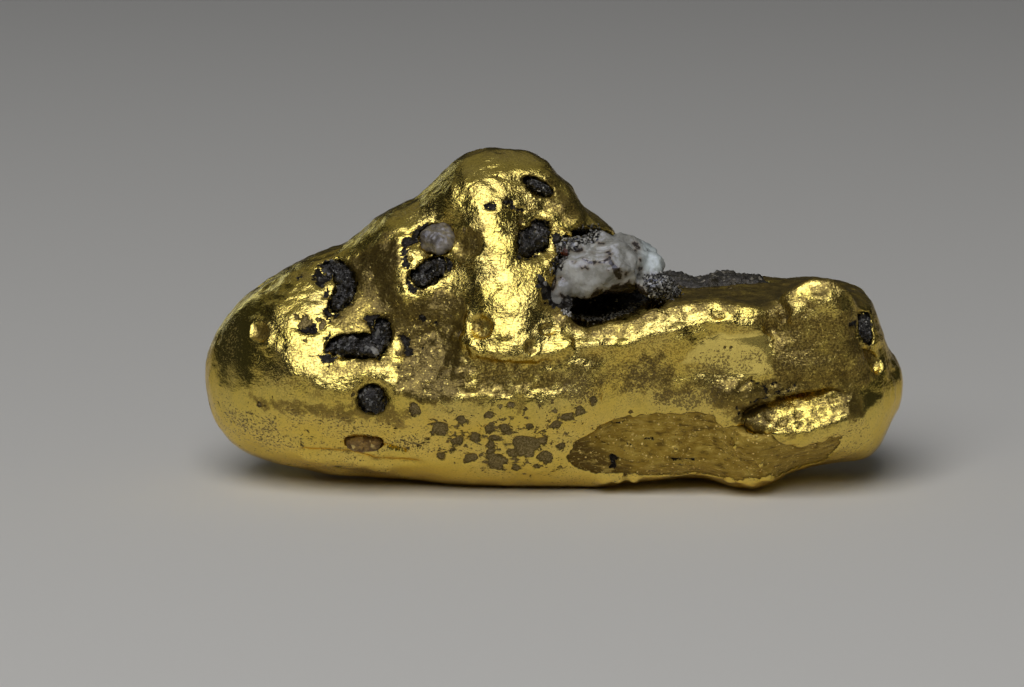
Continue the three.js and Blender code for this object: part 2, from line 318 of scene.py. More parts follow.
gold = {  # sizes and heights in mm
    "voxel": 0.152,
    "firstRounds": 3, "smoothRounds": 11, "underCrownRounds": 40,   # rounds of smoothing
    "swellSize": 2.6, "swellHeight": 0.07,       # slow waves of the worn surface
    "hammerSize": 0.95, "hammerHeight": 0.06,    # dents as from hammering
    "grainSize": 0.42, "grainHeight": 0.018,     # the finest relief that the mesh can hold
    "crumpleSize": 0.6, "crumpleHeight": 0.2,
    "foldSize": 0.55, "foldHeight": 0.22,        # crystals on the floor of the fold
    "noduleHeight": 0.22,
    "patchHeight": 0.02,
    "edgeWidth": 0.6,                            # over which a field passes from 0 to 1
    "pocketWidth": 0.84,                         # share of the widths in goldPockets
    "pocketDepth": 0.13,
    "crackHalfWidth": 0.045,
    "mineralRim": 0.03,                          # matrix round a mineral grain
    "pitDepth": 0.09, "pitSeed": 11, "pitCount": 240,
    "pitRadii": (0.05, 0.25),                    # smallest, and how much larger the others may be
    "slabDepth": 0.1,
    "hollowRounds": 8, "hollowSpan": 0.06,       # how the hollows are found for the film
}
# Broad swells of the front, moved straight forwards: half-width, height, points [x, z] in mm.
goldSwells = [
    (1.25, 0.28, [-17, 4.6], [-14.5, 4.9], [-12, 5], [-9.5, 5.1], [-7, 5.3]),  # belly line
    (1, 0.22, [-7, 5.3], [-4, 5.3], [-1, 5.3], [0.8, 5.5]),
    (0.9, 0.95, [3.4, 8.4], [5, 8.9], [6.5, 9.3], [9.6, 9.4], [11.6, 9.6], [14.2, 9.55]),  # upright front
    (0.7, 0.8, [5.4, 9.5], [6.5, 9.9], [9.6, 10], [11.6, 10.2], [14, 10.1]),  # and its square top edge
    (0.5, -0.3, [10.2, 6.05], [12.5, 6.1], [14.2, 6.2]),  # hollow over the fold
    (0.5, -0.9, [0, 10.1], [0.2, 11]),  # makes room for the quartz
]
# Bands of the front that lean back evenly: x, y, z along the middle, half the height up the slope.
goldShoulders = [
    [(1.6, -6.4, 8.5, 0.5), (3, -6.1, 8.84, 0.65), (5, -6, 9.38, 0.75), (7, -5.6, 9.82, 0.5),
     (8.3, -5.7, 9.76, 0.7), (9.6, -5.75, 9.42, 0.45)],
    [(11.5, -4.9, 10.7, 0.25), (12.3, -5, 10.9, 0.35), (13.4, -5, 10.9, 0.3), (14.6, -4.8, 10.6, 0.2)],
]
# Parts raised straight upwards: middle x, y, z, half-sizes, height.
goldLifts = [
    (13.1, -4.8, 9.9, 1.5, 1.8, 1.3, 1.25), (13, -2.9, 10.9, 1.6, 1, 1, -0.5),
    (8, -4.6, 10.1, 1.4, 1, 1, 0.25), (5, -5.4, 9, 0.9, 1.2, 0.8, 0.55),
]
# Little lumps of gold grown on: x, y, z, radius.
goldLumps = [
    (-8.25, -6.35, 5.12, 0.3), (-7.05, -4.75, 12.15, 0.34), (0.75, -4.9, 13.35, 0.3),
    (0.35, -5, 13.75, 0.22),
]
# Ridges and grooves on the front, along the surface's own direction: half-width, height, points.
goldStrokes = [
    (0.3, 0.3, [9.7, 10], [10.6, 9.2]), (0.28, 0.28, [11.2, 10.2], [11.7, 9.3]),
    # lip edge
    (0.3, 0.16, [-4.4, 8.35], [-3.9, 7.95], [-2.7, 7.7], [-1.2, 7.6], [-0.1, 7.75], [0.6, 8.15]),
    (0.35, -0.12, [-4.3, 7.6], [-2.7, 7.25], [-0.8, 7.2], [0.4, 7.4]),
    (0.35, 0.1, [0.6, 7.95], [2.3, 8.1], [4.3, 8.6], [5.7, 9.1]),  # shoulder of the arm
    (0.5, 0.08, [5.8, 9.5]), (0.6, 0.1, [7.3, 9.6]), (0.5, 0.1, [8.7, 9.45]),
    (0.12, -0.16, [7.7, 9.6], [7.95, 9.45], [8.15, 9.5]), (0.4, 0.1, [3.4, 8.1]), (0.35, 0.1, [2, 8.2]),
    (0.26, -0.22, [9.9, 9.9], [10.3, 9.45], [10.6, 8.9]),  # fluting at the end of the shoulder
    (0.28, 0.14, [10.5, 10.1], [10.8, 9.6], [11, 9.1]), (0.24, -0.22, [11.2, 10.1], [11.4, 9.4]),
    (0.35, 0.14, [11.7, 10], [12, 9.4]),
    # rolled lip of the fold
    (0.34, 0.24, [9.2, 4.1], [10.8, 3.5], [12.3, 3.25], [13.6, 3.75], [14.8, 4.35]),
    (0.3, 0.1, [8.2, 5], [9.1, 5.2], [10.3, 5.6], [11.8, 5.7], [13.8, 5.8]), (0.35, 0.16, [8.5, 5.7]),
    (0.3, 0.16, [9.3, 5.3]), (0.35, 0.14, [9.9, 5.9]), (0.3, 0.12, [10.7, 5.5]),
    (0.1, -0.16, [9.1, 6], [9.6, 6.4], [10.2, 5.65], [11.1, 5.35]),  # cracks over the fold
    (0.1, -0.14, [10.4, 5.65], [11.2, 5.7], [12, 6.25]), (0.1, -0.16, [9.9, 5.65], [10.1, 5.2], [9.3, 4.6]),
    (0.2, -0.16, [-12.4, 2.35], [-10.2, 2.3], [-8.7, 1.85], [-6.85, 1.75]),  # crease under the blunt end
    (0.4, 0.12, [-12, 1.8], [-10, 1.7], [-8.4, 1.3]), (0.32, -0.4, [15.2, 8.3], [15.6, 7.4], [15.9, 6.8]),
    (0.2, -0.24, [16.3, 7.4], [16.7, 6.3], [16.95, 6]),
    (0.17, -0.5, [-8.2, 2.68], [-7.5, 2.41]),  # slot
    (0.08, -0.12, [2.6, 3.5], [3, 3.03], [3.3, 2.87]),  # cracks in the stained slab
    (0.08, -0.12, [5.7, 2.07], [6.8, 1.82]), (0.08, -0.12, [4.3, 3.05], [4.9, 2.4]),
    (0.07, -0.08, [4.8, 3.92], [5.5, 4.26]),
    (0.45, 0.12, [-1, 14.3], [-0.1, 13.4], [0, 12], [-0.3, 10.9]),  # rib between eye and quartz
    (0.4, 0.12, [-5, 15], [-4.9, 14.2]),
    (0.5, 0.1, [-12.9, 7.1], [-11.6, 6.2], [-9.6, 6], [-7.8, 6.2]),  # lower edge of the crown
]
# Round dents with a raised rim: x, z, half-width, half-height, depth, rim.
goldCraters = [
    (-14.5, 8.36, 0.52, 0.5, 0.16, 0.07), (-3.6, 9.06, 0.62, 0.6, 0.24, 0.1),
    (-1.2, 8.14, 0.38, 0.36, 0.16, 0.08), (-0.35, 8.89, 0.5, 0.3, 0.1, 0.06),
    (-4.25, 12.8, 0.8, 0.7, 0.18, 0.04), (-2.7, 11, 0.15, 0.15, 0.1, 0),
]
# Knobs no bigger than a crater: x, z, radius, height.
goldKnobs = [
    (2.4, 0.75, 0.35, 0.1), (4, 0.8, 0.25, 0.08), (10, 0.5, 0.4, 0.12), (11.2, 0.6, 0.3, 0.08),
    (-2.5, 8.75, 0.24, 0.14), (-1.9, 8.35, 0.2, 0.1), (0.3, 8.46, 0.26, 0.1), (1.3, 8.25, 0.2, 0.08),
    (-0.2, 13.9, 0.3, 0.16), (0.4, 14.3, 0.25, 0.12), (1.1, 13.6, 0.3, 0.12),
]
# Pockets filled with black matrix: half-width, points.
goldPockets = [
    (0.36, [-11.55, 11.12], [-11.1, 11.15], [-10.62, 10.92], [-10.3, 10.56], [-10.28, 10.15],
     [-10.55, 9.76], [-11, 9.44]),
    (0.2, [-11.75, 10.74], [-11.3, 10.71]), (0.16, [-11.2, 10.21]),
    (0.44, [-8.85, 9.07], [-8.55, 8.7], [-8.6, 8.16]),
    (0.38, [-8.62, 7.76], [-9.4, 7.81], [-10.15, 7.88], [-10.85, 7.81]),
    (0.22, [-10.85, 7.45], [-11.32, 7.46]), (0.22, [-9.1, 9.18]),
    (0.47, [-6.85, 11], [-6.15, 11.37], [-5.4, 11.68]), (0.32, [-7, 10.8]),
    (0.18, [-7.4, 12.38], [-7.47, 12.04], [-7.28, 11.7]),
    (0.27, [-6.4, 13.36], [-6.78, 12.98], [-7.3, 12.66]), (0.22, [-5.12, 13.29]), (0.6, [-8.9, 5.41]),
    (0.2, [-12.47, 8.72], [-11.85, 8.74]), (0.12, [-12.62, 10.76]), (0.17, [-11.05, 8.4]),
    (0.17, [-7.4, 8.27], [-7.2, 8], [-7.12, 7.66]), (0.14, [-6.45, 9.13], [-6.47, 9.41]),
    (0.16, [-5.7, 8.9]), (0.12, [-6.5, 7.94]), (0.46, [-0.8, 13.43], [-0.85, 12.74], [-1.5, 12.47]),
    (0.22, [-1.32, 15.53], [-0.9, 15.27], [-0.33, 15]), (0.16, [-3.3, 14.51], [-3, 14.59]),
    (0.14, [-2.4, 14.68], [-2, 14.51], [-1.6, 14.28]), (0.3, [15.4, 8.98], [15.5, 8.64]),
    (0.22, [15.15, 8.82], [15.25, 8.37], [15.6, 7.93]), (0.14, [14.6, 8.92], [15, 8.77]),
    (0.16, [-8.2, 2.68], [-7.5, 2.41]), (0.22, [2.9, 2.1], [2.9, 1.7]),
    (0.18, [-0.65, 11.08], [-0.35, 10.62]), (0.24, [-0.3, 10.42], [0, 10.02]),
    (0.2, [0.1, 12.9], [0.3, 12.2], [0, 11.5]),
]
# Fine cracks filled with the same matrix.
goldCracks = [
    [[9.65, 6.32], [10.15, 6.07], [10.5, 5.66]], [[10.15, 6.07], [10.8, 6.12], [11.2, 5.77], [11.8, 5.82]],
    [[9.2, 5.16], [9.8, 5.36], [10.4, 5.46], [10.8, 5.66], [11.55, 5.5], [12.3, 5.5]],
    [[11.5, 5.66], [11.7, 5.87], [11.95, 6.17]], [[8.9, 4.95], [9.05, 4.5]],
    [[1.9, 3.3], [2.3, 2.9], [2.7, 2.85]], [[3.6, 2.9], [3.9, 2.6]], [[4.4, 3.05], [4.9, 3.1]],
    [[5.7, 2.05], [6.3, 2], [6.9, 2.05]], [[2.9, 3.95], [3.9, 4.15]],
]
# The hollow under the quartz, painted black as shade: an outline in x and in height across the line of sight.
shadedHollowOutline = [
    [-0.35, 9.4], [0.1, 8.85], [0.45, 8.5], [1.15, 8.32], [1.85, 8.2], [2.6, 8.22], [3.3, 8.4], [4, 8.72],
    [4.45, 9.05], [4.9, 9.35], [6.2, 9.6], [5.6, 10.6], [3, 12.4], [0.6, 12],
]
# Flat-bottomed pits in the worn face: x, z, radius.
goldPits = [
    (-5.7, 3.9, 0.42), (-3.2, 3.9, 0.28), (-2.45, 3.95, 0.32), (-3.85, 3.4, 0.3), (-3.15, 2.9, 0.22),
    (-4.75, 3.15, 0.3), (-5.6, 2.2, 0.24), (-4.15, 2.1, 0.34), (-2.9, 1.9, 0.5), (-1.35, 2.85, 0.62),
    (-0.45, 2.15, 0.38), (-1.9, 1.6, 0.22), (-1.25, 4.1, 0.2), (0, 4.1, 0.26), (-6.7, 2.8, 0.13),
    (-6.2, 3.25, 0.12), (-3.2, 2.4, 0.14), (-4.6, 4.45, 0.28), (-3.2, 4.8, 0.22), (-6.85, 5, 0.34),
    (-0.6, 3.1, 0.3), (-2.1, 2.5, 0.26), (0.3, 2.8, 0.24), (-0.9, 1.6, 0.2), (-5, 2.6, 0.14),
    (0.6, 4.6, 0.3), (-12.2, 9, 0.3), (-11.4, 8.95, 0.2), (-12.7, 9.25, 0.12), (1.2, 4.9, 0.26),
    (-2.2, 5.3, 0.2), (1.9, 5.4, 0.2),
]
# Areas of the front, as outlines of [x, z] points.
slabOutline = [
    [0.6, 2.2], [1.05, 3.03], [2.3, 3.86], [3.6, 4.39], [5.3, 4.55], [6.8, 4.72], [7.75, 4.55], [7.9, 4.05],
    [8.3, 3.9], [9, 3.95], [9.8, 3.8], [10.8, 3.5], [11.3, 3.1], [11.9, 2.8], [12.8, 3], [13.6, 3.3],
    [14.1, 3.4], [13.9, 2.65], [13.3, 1.55], [11.8, 1.1], [10.6, 0.9], [9.3, 0.9], [7.2, 1.1], [6.3, 1.1],
    [3.3, 1.15], [2.1, 1.15], [0.9, 1.6],
]
slabNodules = [  # gold beads along its lower edge: x, z, radius
    (2.5, 1.05, 0.34), (3.1, 0.95, 0.26), (3.95, 1.1, 0.3), (8.7, 1, 0.28), (9.65, 0.95, 0.42),
    (10.6, 1.1, 0.3), (5.9, 2.6, 0.14), (8.9, 3, 0.14), (10.1, 2, 0.2),
]
patchOutline = [
    [6.5, 7.7], [7.1, 8.35], [8.1, 8.7], [9.7, 8.65], [10.4, 8.5], [10.6, 7.75], [10.7, 6.8], [9.9, 6.5],
    [8.6, 6.6], [7.9, 6.9], [6.8, 7.2], [6.1, 7.2],
]
foldFloor = [
    [9.2, 4.3], [9.9, 4.7], [11.3, 5.2], [12.7, 5.4], [14.2, 5.8], [14.6, 5.2], [14.4, 4.5], [13.4, 3.95],
    [12.3, 3.65], [11.2, 3.6], [9.9, 3.9],
]
foldLip = [[8.5, 4.2], [9.7, 3.95], [11.1, 3.6], [12.8, 3.95], [14.3, 4.4]]  # where its floor meets the lip
crumpledArea = [
    [-7.7, 9.6], [-6.2, 10.1], [-4.6, 9.4], [-4.2, 7.8], [-1.7, 7.2], [0.3, 7.05], [0.3, 6], [-2.7, 5.6],
    [-5.7, 5.3], [-7.5, 5.8], [-7.8, 7.7],
]
pittedArea = [
    [-6.1, 5], [-4.2, 5.3], [-1.7, 5.6], [0.6, 5.7], [2.4, 5], [1.4, 4], [0.6, 3], [0.8, 1.3], [-1.7, 0.9],
    [-4.2, 1.1], [-5.7, 2.5], [-6.45, 3.7],
]
speckledOvals = [
    # x, z, half-width, half-height
    (7.7, 7.35, 1, 0.6), (9.6, 7.3, 0.7, 0.5), (3.5, 6.3, 1.8, 0.7), (6.3, 5.4, 1.6, 0.5),
    (1.2, 6, 0.9, 0.7), (4.6, 7, 1.2, 0.5),
]
speckledArea = [
    [-17, 4.7], [-14.7, 4.6], [-11.2, 4.7], [-7.7, 4.3], [-6.3, 3.7], [-6.3, 2.2], [-11.2, 2.1],
    [-14.7, 2.3], [-16.6, 3.5],
]
calmArea = [
    [-17.6, 4], [-17.6, 9], [-16.4, 11.4], [-13.6, 13.4], [-10.2, 14.8], [-9.6, 13.9], [-12.6, 12.2],
    [-14.6, 10.2], [-14.9, 8.6], [-14.8, 6.6], [-13, 5.7], [-9.4, 4.9], [-9, 4.2],
]
# Brown films on the front, and dark patches of painted shade: strength, outline.
goldFilmsAndShade = [
    (0.85, [-10.9, 10.1], [-8.9, 10], [-8.5, 8.6], [-10.3, 8.3], [-11, 9]),
    (0.75, [-11.4, 7.2], [-9.5, 7.5], [-7.9, 7.7], [-7.9, 7], [-9.8, 6.7], [-11.2, 6.7]),
    (0.5, [-14.2, 11.6], [-12.4, 12.3], [-11.4, 11.2], [-12.6, 10.6]),
    (0.55, [11.5, 9.8], [15.5, 9.8], [15.5, 11.4], [13.6, 11.4], [12.2, 10.6]),
    (0.6, [10.9, 5.4], [14.2, 5.6], [14.2, 4.4], [11, 3.4]),
    # dark band along the belly under the crown: painted shade
    (0.85, [-15.2, 5.5], [-11.2, 5.2], [-8.7, 5.5], [-6.7, 5.1], [-7.7, 4.3], [-11.2, 4.5], [-14.7, 4.8]),
    (1.1, [-10.45, 11.4], [-9.1, 12.35], [-8.1, 13], [-7.6, 12.4], [-7.9, 10.8], [-7.2, 10.15],
     [-5.3, 10.6], [-4.4, 10], [-4.6, 7.85], [-4.2, 6.05], [-5.8, 5.3], [-7.5, 5.55], [-7.8, 6.75],
     [-7.6, 7.75], [-8.1, 9], [-9.6, 9.95], [-10.1, 10.7]),
    (0.7, [-4.7, 7.3], [-2.7, 7], [0.3, 6.95], [0.7, 6.3], [-2.7, 5.7], [-4.6, 5.4]),
    # dark corner at the left end of the fold: painted shade
    (1.15, [8.6, 4.3], [9.6, 3.6], [10.5, 3.6], [10.9, 4.7], [10.4, 5.6], [9, 5.2]),
    (0.9, [10.2, 5.1], [12.5, 5.7], [14.3, 6], [14.4, 6.8], [12, 6.6], [9.6, 6.2]),
    (1, [13.5, 5.9], [14.9, 6], [15.2, 4.6], [14.3, 4.2], [13.9, 5]),
    (0.8, [9.8, 9], [11.6, 8.3], [11.9, 10], [11.2, 10.6], [10.2, 10.3]),
    (0.45, [10.2, 4], [11.2, 3.6], [13.4, 3.9], [14.5, 4.5], [14.2, 5.7], [10.9, 5]),
    (0.95, [-5.1, 12.9], [-4.6, 13.55], [-3.6, 13.5], [-3.6, 12.85], [-4.2, 12], [-4.8, 11.95]),
    (0.85, [-1.7, 15.9], [-0.1, 15.55], [1, 14.6], [1.3, 13.5], [0.4, 13.45], [-0.3, 14.5], [-1.2, 15]),
    (0.5, [-0.3, 14], [0.4, 13.45], [0.8, 12.5], [0.3, 11.65], [-0.3, 11.1], [-0.7, 11.9], [-0.1, 12.8]),
    (0.9, [-0.2, 9.9], [0.1, 9.3], [1.05, 8.8], [2.6, 8.5], [4.3, 8.9], [5.2, 9.4], [5, 9.8], [2.6, 9.6]),
    (0.95, [5.2, 10.1], [6.8, 9.95], [9.3, 10], [11.9, 10], [11.9, 11], [5.2, 11]),
    (0.85, [10.6, 9], [12.3, 9.35], [14.6, 9.6], [15.4, 8.4], [15.7, 7.45], [15.9, 6.05], [14.8, 5.6],
     [12.8, 5.5], [11.05, 5.4], [10.5, 6.7]),
    (0.85, [5.1, 5.45], [5.7, 6.05], [6.8, 6.6], [7.7, 6.5], [7.3, 6], [6.3, 5.55], [5.4, 5.25]),
    (0.95, [7.3, 5.9], [8.4, 6.4], [10.3, 6.3], [11.8, 5.5], [10.8, 5], [9.05, 4.6], [7.9, 4.85]),
    (0.5, [0.3, 7.2], [2.3, 7.25], [4.8, 7.7], [6.1, 7.2], [5.7, 6], [4.3, 5.65], [2.3, 5.95], [0.6, 5.8]),
    (0.75, [-8.3, 4.65], [-7.7, 5.15], [-7.1, 4.7], [-7.3, 4], [-8, 3.9]),
    (0.75, [-2.2, 5.85], [-1.5, 6.05], [-1.3, 5], [-1.7, 4.7], [-2.1, 5.35]),
    (0.6, [-4.1, 9.4], [-3.2, 9.4], [-3.15, 8.75], [-4, 8.7]),
    (0.9, [-1.45, 8.4], [-0.95, 8.4], [-0.95, 7.9], [-1.45, 7.9]),
    (0.8, [-14.9, 8.6], [-14.1, 8.7], [-14, 8.1], [-14.8, 8]),
    (0.7, [-10.2, 9.3], [-9, 9.5], [-9, 8.2], [-10.4, 8.3]),
    (0.5, [-9.8, 11.9], [-10.9, 12], [-12, 11.6], [-11.6, 10.8], [-10.4, 11.3]),
    (0.5, [-11.4, 7.3], [-8.6, 7.2], [-8.2, 6.8], [-11.2, 6.9]),
]


def mineralDistance(points, nodeNames, reach):
    # distance to the nearest mineral grain, up to the reach
    nearest = np.full(len(points), reach)
    for name in nodeNames:
        low, high = (np.array(corner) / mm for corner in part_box(name))
        close = np.all((points > low - reach) & (points < high + reach), axis=1)
        tree = searchTree(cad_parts[name].data)
        for i in np.nonzero(close)[0]:
            found = tree.find_nearest(Vector(points[i]), reach)
            if found[0] is not None:
                nearest[i] = min(nearest[i], found[3])
    return nearest


def frontOf(points, normals):
    return smoothStep(0.0, 0.4, -normals[:, 1]) * (points[:, 1] < 0.5)


def edgeField(depth, level=0.5):
    # the level at an edge, rising to 1 inside it and falling to 0 outside
    return np.clip(level + depth / gold["edgeWidth"], 0, 1)


def raisedFront(points, normals):
    # the broad shapes of the front
    flat = points[:, [0, 2]]
    front = frontOf(points, normals)
    for reach, rise, *line in goldSwells:
        points[:, 1] -= front * rise * np.exp(-((lineDistance(flat, line) / reach) ** 2))
    for x, y, z, wide, deep, high, rise in goldLifts:
        away = np.linalg.norm((points - [x, y, z]) / [wide, deep, high], axis=1)
        points[:, 2] += rise * np.exp(-(away**2))
    for band in goldShoulders:
        # moved onto a plane that leans back 3 for every 4 up
        table = np.array(band).T
        middleY, middleZ, halfHeight = (np.interp(points[:, 0], table[0], row) for row in table[1:])
        back, up = points[:, 1] - middleY, points[:, 2] - middleZ
        across, along = -0.8 * back + 0.6 * up, 0.6 * back + 0.8 * up
        share = 1 - smoothStep(halfHeight * 0.8, halfHeight + 0.5, np.abs(along))
        share *= 1 - smoothStep(0.8, 1.3, np.abs(across))
        share *= smoothStep(-0.8, 0.2, points[:, 0] - table[0, 0])
        share *= smoothStep(-0.8, 0.2, table[0, -1] - points[:, 0])
        points[:, 1] += 0.8 * across * share
        points[:, 2] -= 0.6 * across * share
    # the floor of the fold lies open to the light
    inFold = smoothStep(-0.35, 0.15, insideOutline(flat, foldFloor)) * (points[:, 1] < -1)
    lip = np.interp(points[:, 0], *np.array(foldLip).T)
    floorDepth = -6.15 + 0.1 * np.abs(points[:, 0] - 11.5) + 0.62 * (points[:, 2] - lip)
    points[:, 1] += inFold * (np.minimum(points[:, 1], floorDepth) - points[:, 1])
    return points


def pocketField(points, front, wobble, toMineral):
    # pockets, cracks, the matrix round each mineral grain, and painted shade in the hollow under the quartz
    flat = points[:, [0, 2]]
    ragged = wobbleAt(points, 0.22, 2, 11)
    pocket = np.zeros(len(points))
    for halfWidth, *line in goldPockets:
        away = lineDistance(flat + 0.16 * wobble + 0.14 * ragged, line)
        pocket = np.maximum(pocket, front * edgeField(gold["pocketWidth"] * halfWidth - away))
    for line in goldCracks:
        away = lineDistance(flat + 0.1 * wobble + 0.06 * ragged, line)
        pocket = np.maximum(pocket, front * edgeField(gold["crackHalfWidth"] - away))
    rim = gold["mineralRim"] + 0.13 * wobble[:, 1] + 0.1 * ragged[:, 0]
    pocket = np.maximum(pocket, edgeField(rim - toMineral))
    # the hollow under the quartz gets the same black, as painted shade
    deepInside = (points[:, 1] > -5.9) & (points[:, 2] > 8.6) & (points[:, 1] < 1.5)
    hollow = insideOutline(acrossSight(points) + 0.05 * wobble, shadedHollowOutline)
    return np.maximum(pocket, deepInside * edgeField(hollow))


def pitField(points, front, wobble):
    # the listed pits, and small ones at random all round
    flat = points[:, [0, 2]]
    pit = np.zeros(len(points))
    for x, z, radius in goldPits:
        away = np.linalg.norm(flat + 0.5 * radius * wobble - [x, z], axis=1)
        pit = np.maximum(pit, front * edgeField(radius - away))
    draw = np.random.default_rng(gold["pitSeed"])
    centres = points[draw.integers(0, len(points), gold["pitCount"])]
    smallest, spread = gold["pitRadii"]
    radii = smallest + spread * draw.random(gold["pitCount"]) ** 3
    for centre, radius in zip(centres, radii):
        pit = np.maximum(pit, edgeField(radius - np.linalg.norm(points - centre, axis=1), 0.45))
    return pit * (insideOutline(flat, foldFloor) < 0.1)


def sculptGold():
    piece = workingCopy("gold_body", "goldBody")
    work = bmesh.new()
    work.from_mesh(piece.data)
    for x, y, z, radius in goldLumps:
        bmesh.ops.create_icosphere(work, subdivisions=2, radius=radius, matrix=Matrix.Translation((x, y, z)))
    work.to_mesh(piece.data)
    work.free()
    voxelRemesh(piece, gold["voxel"])
    mineralNames = [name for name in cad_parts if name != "gold_body"]
    closeToMineral = mineralDistance(pointsOf(piece), mineralNames, 0.4) < 0.3
    smoothed(piece, gold["firstRounds"])
    smoothed(piece, gold["smoothRounds"], ~closeToMineral)
    print("gold remeshed:", len(piece.data.polygons), "faces")

    points = raisedFront(*surfaceOf(piece))
    movePoints(piece, points)
    smoothed(piece, gold["firstRounds"])
    underCrown = (np.abs(points[:, 0] + 11.5) < 3.6) & (np.abs(points[:, 2] - 5.4) < 1.3)
    underCrown &= points[:, 1] < -3
    smoothed(piece, gold["underCrownRounds"], underCrown)

    points, normals = surfaceOf(piece)
    flat = points[:, [0, 2]]
    wobble = wobbleAt(points, 0.5, 2, 1)
    front = frontOf(points, normals)

    def area(outline, low, high, stray=0.0):
        # the front inside an outline, fading in over the distances low to high
        return front * smoothStep(low, high, insideOutline(flat + stray * wobble, outline))

    def ovalDistance(x, z, wide, high, stray):
        # 1 on the oval
        return np.linalg.norm((flat + stray * wobble - [x, z]) / [wide, high], axis=1)

    height = np.zeros(len(points))
    for reach, rise, *line in goldStrokes:
        away = lineDistance(flat + 0.35 * reach * wobble, line)
        height += front * rise * np.exp(-((away / reach) ** 2))
    for x, z, wide, high, depth, rim in goldCraters:
        away = ovalDistance(x, z, wide, high, 0.06)
        height += front * rim * np.exp(-(((away - 1.1) / 0.25) ** 2))
        height -= front * depth * (1 - smoothStep(0.55, 1.0, away))
    for x, z, radius, rise in goldKnobs:
        height += front * rise * np.exp(-(ovalDistance(x, z, radius, radius, 0.05) ** 2))

    toMineral = mineralDistance(points, mineralNames, 0.7)
    pocket = pocketField(points, front, wobble, toMineral)
    pit = pitField(points, front, wobble)
    slab = front * edgeField(insideOutline(flat + 0.12 * wobble, slabOutline))
    for x, z, radius in slabNodules:
        bulge = front * np.exp(-(ovalDistance(x, z, radius, radius, 0.1) ** 2))
        slab *= 1 - 0.9 * bulge
        height += gold["noduleHeight"] * bulge
    patch = area(patchOutline, -0.08, 0.08, 0.08)
    fold = area(foldFloor, -0.15, 0.15)
    crumple = area(crumpledArea, -0.8, 0.5, 0.4)
    speckled = area(speckledArea, -0.6, 0.6, 0.5)
    pitted = np.maximum(area(pittedArea, -0.8, 0.8, 0.5), 0.6 * speckled)
    speckle = 0.5 * speckled
    for x, z, wide, high in speckledOvals:
        speckle = np.maximum(speckle, front * smoothStep(1.25, 0.75, ovalDistance(x, z, wide, high, 0.2)))
    still = area(calmArea, -0.4, 0.4, 0.3)
    upper = smoothStep(4.6, 6.2, points[:, 2] + 0.6 * wobble[:, 0])  # the lower face is worn smooth
    calm = np.max([smoothStep(0.4, 0.6, slab) * 0.5, patch, (1 - upper) * 0.75, 0.75 * still], axis=0)
    sunk = smoothStep(0.42, 0.62, pocket)

    height += gold["swellHeight"] * noiseAt(points, gold["swellSize"], 2, 3)
    height += (1 - calm) * gold["hammerHeight"] * noiseAt(points, gold["hammerSize"], 2, 4)
    height += (1 - calm) * gold["grainHeight"] * noiseAt(points, gold["grainSize"], 2, 6)
    cells = cellsAt(points, gold["crumpleSize"], 5)
    crumpled = gold["crumpleHeight"] * (cells[:, 1] - cells[:, 0] - 0.25) * (1 - calm * 0.8)
    height += (0.03 + crumple) * crumpled
    height -= gold["pocketDepth"] * sunk + gold["pitDepth"] * smoothStep(0.42, 0.58, pit)
    height -= gold["slabDepth"] * smoothStep(0.44, 0.56, slab)
    height += fold * gold["foldHeight"] * (cellsAt(points, gold["foldSize"], 8)[:, 0] - 0.4)
    height += fold * 0.05 * noiseAt(points, 0.3, 2, 23) + gold["patchHeight"] * patch
    height += (0.05 * sunk + 0.08 * smoothStep(0.4, 0.1, toMineral)) * noiseAt(points, 0.25, 2, 21)
    grounded = smoothStep(0.0, 0.5, points[:, 2])  # the worn flat that it rests on stays flat
    movePoints(piece, np.clip(points + normals * (height * grounded)[:, None], lowest, highest))
    print("gold relief done")

    points, normals = surfaceOf(piece)
    smoothed(piece, gold["hollowRounds"])
    hollowness = np.einsum("ij,ij->i", pointsOf(piece) - points, normals)
    movePoints(piece, points)

    filmAndShade = np.zeros(len(points))
    for strength, *outline in goldFilmsAndShade:
        filmAndShade = np.maximum(filmAndShade, strength * area(outline, -0.35, 0.25, 0.35))
    armTop = smoothStep(0.45, 0.75, normals[:, 2])
    armTop *= smoothStep(4.6, 5.6, points[:, 0]) * smoothStep(9.0, 9.8, points[:, 2])
    backFilm = (1 - front) * 0.8 * smoothStep(0.0, 0.6, noiseAt(points, 3.0, 3, 9))
    steep = 0.7 * smoothStep(0.62, 0.85, np.abs(normals[:, 2]))
    saveMasks(piece, {
        "patch": patch,
        "slab": slab,
        "slabDark": front * smoothStep(4.4, 1.7, points[:, 0] * 0.6 + (points[:, 2] - 0.8) * 0.8),
        "filmAndShade": np.max([filmAndShade, armTop * (0.95 + 0.3 * wobble[:, 0]), backFilm], axis=0),
        "pitting": pit,
        "pitted": pitted,
        "pocket": pocket,
        "speckle": speckle,
        "worn": np.max([patch, 1 - upper, 0.85 * still, steep], axis=0) * (1 - fold),
        "hollow": 0.5 + hollowness / gold["hollowSpan"],
    })
    return piece


# Short names for the shader nodes that the materials are made of.
def isSocket(value):
    return isinstance(value, bpy.types.NodeSocket)


def feed(node, inputs):
    # each input takes another node's output or a plain value
    for key, value in inputs.items():
        if isSocket(value):
            node.id_data.links.new(value, node.inputs[key])
        else:
            node.inputs[key].default_value = value
    return node


def add(kind, inputs, **settings):
    # the new node belongs to the material that its inputs come from
    tree = next(value.id_data for value in inputs.values() if isSocket(value))
    node = tree.nodes.new(kind)
    for key, value in settings.items():
        setattr(node, key, value)
    return feed(node, inputs)


def newMaterial(name):
    # the material, its shader, and Object coordinates in millimetres
    material = bpy.data.materials.new(name)
    material.use_nodes = True
    nodes = material.node_tree.nodes
    place = nodes.new("ShaderNodeTexCoord").outputs["Object"]
    return material, nodes["Principled BSDF"], stretched(place, (1 / mm,) * 3)


def stretched(place, scale, turn=(0, 0, 0)):
    return add("ShaderNodeMapping", {"Vector": place, "Scale": scale, "Rotation": turn}).outputs[0]


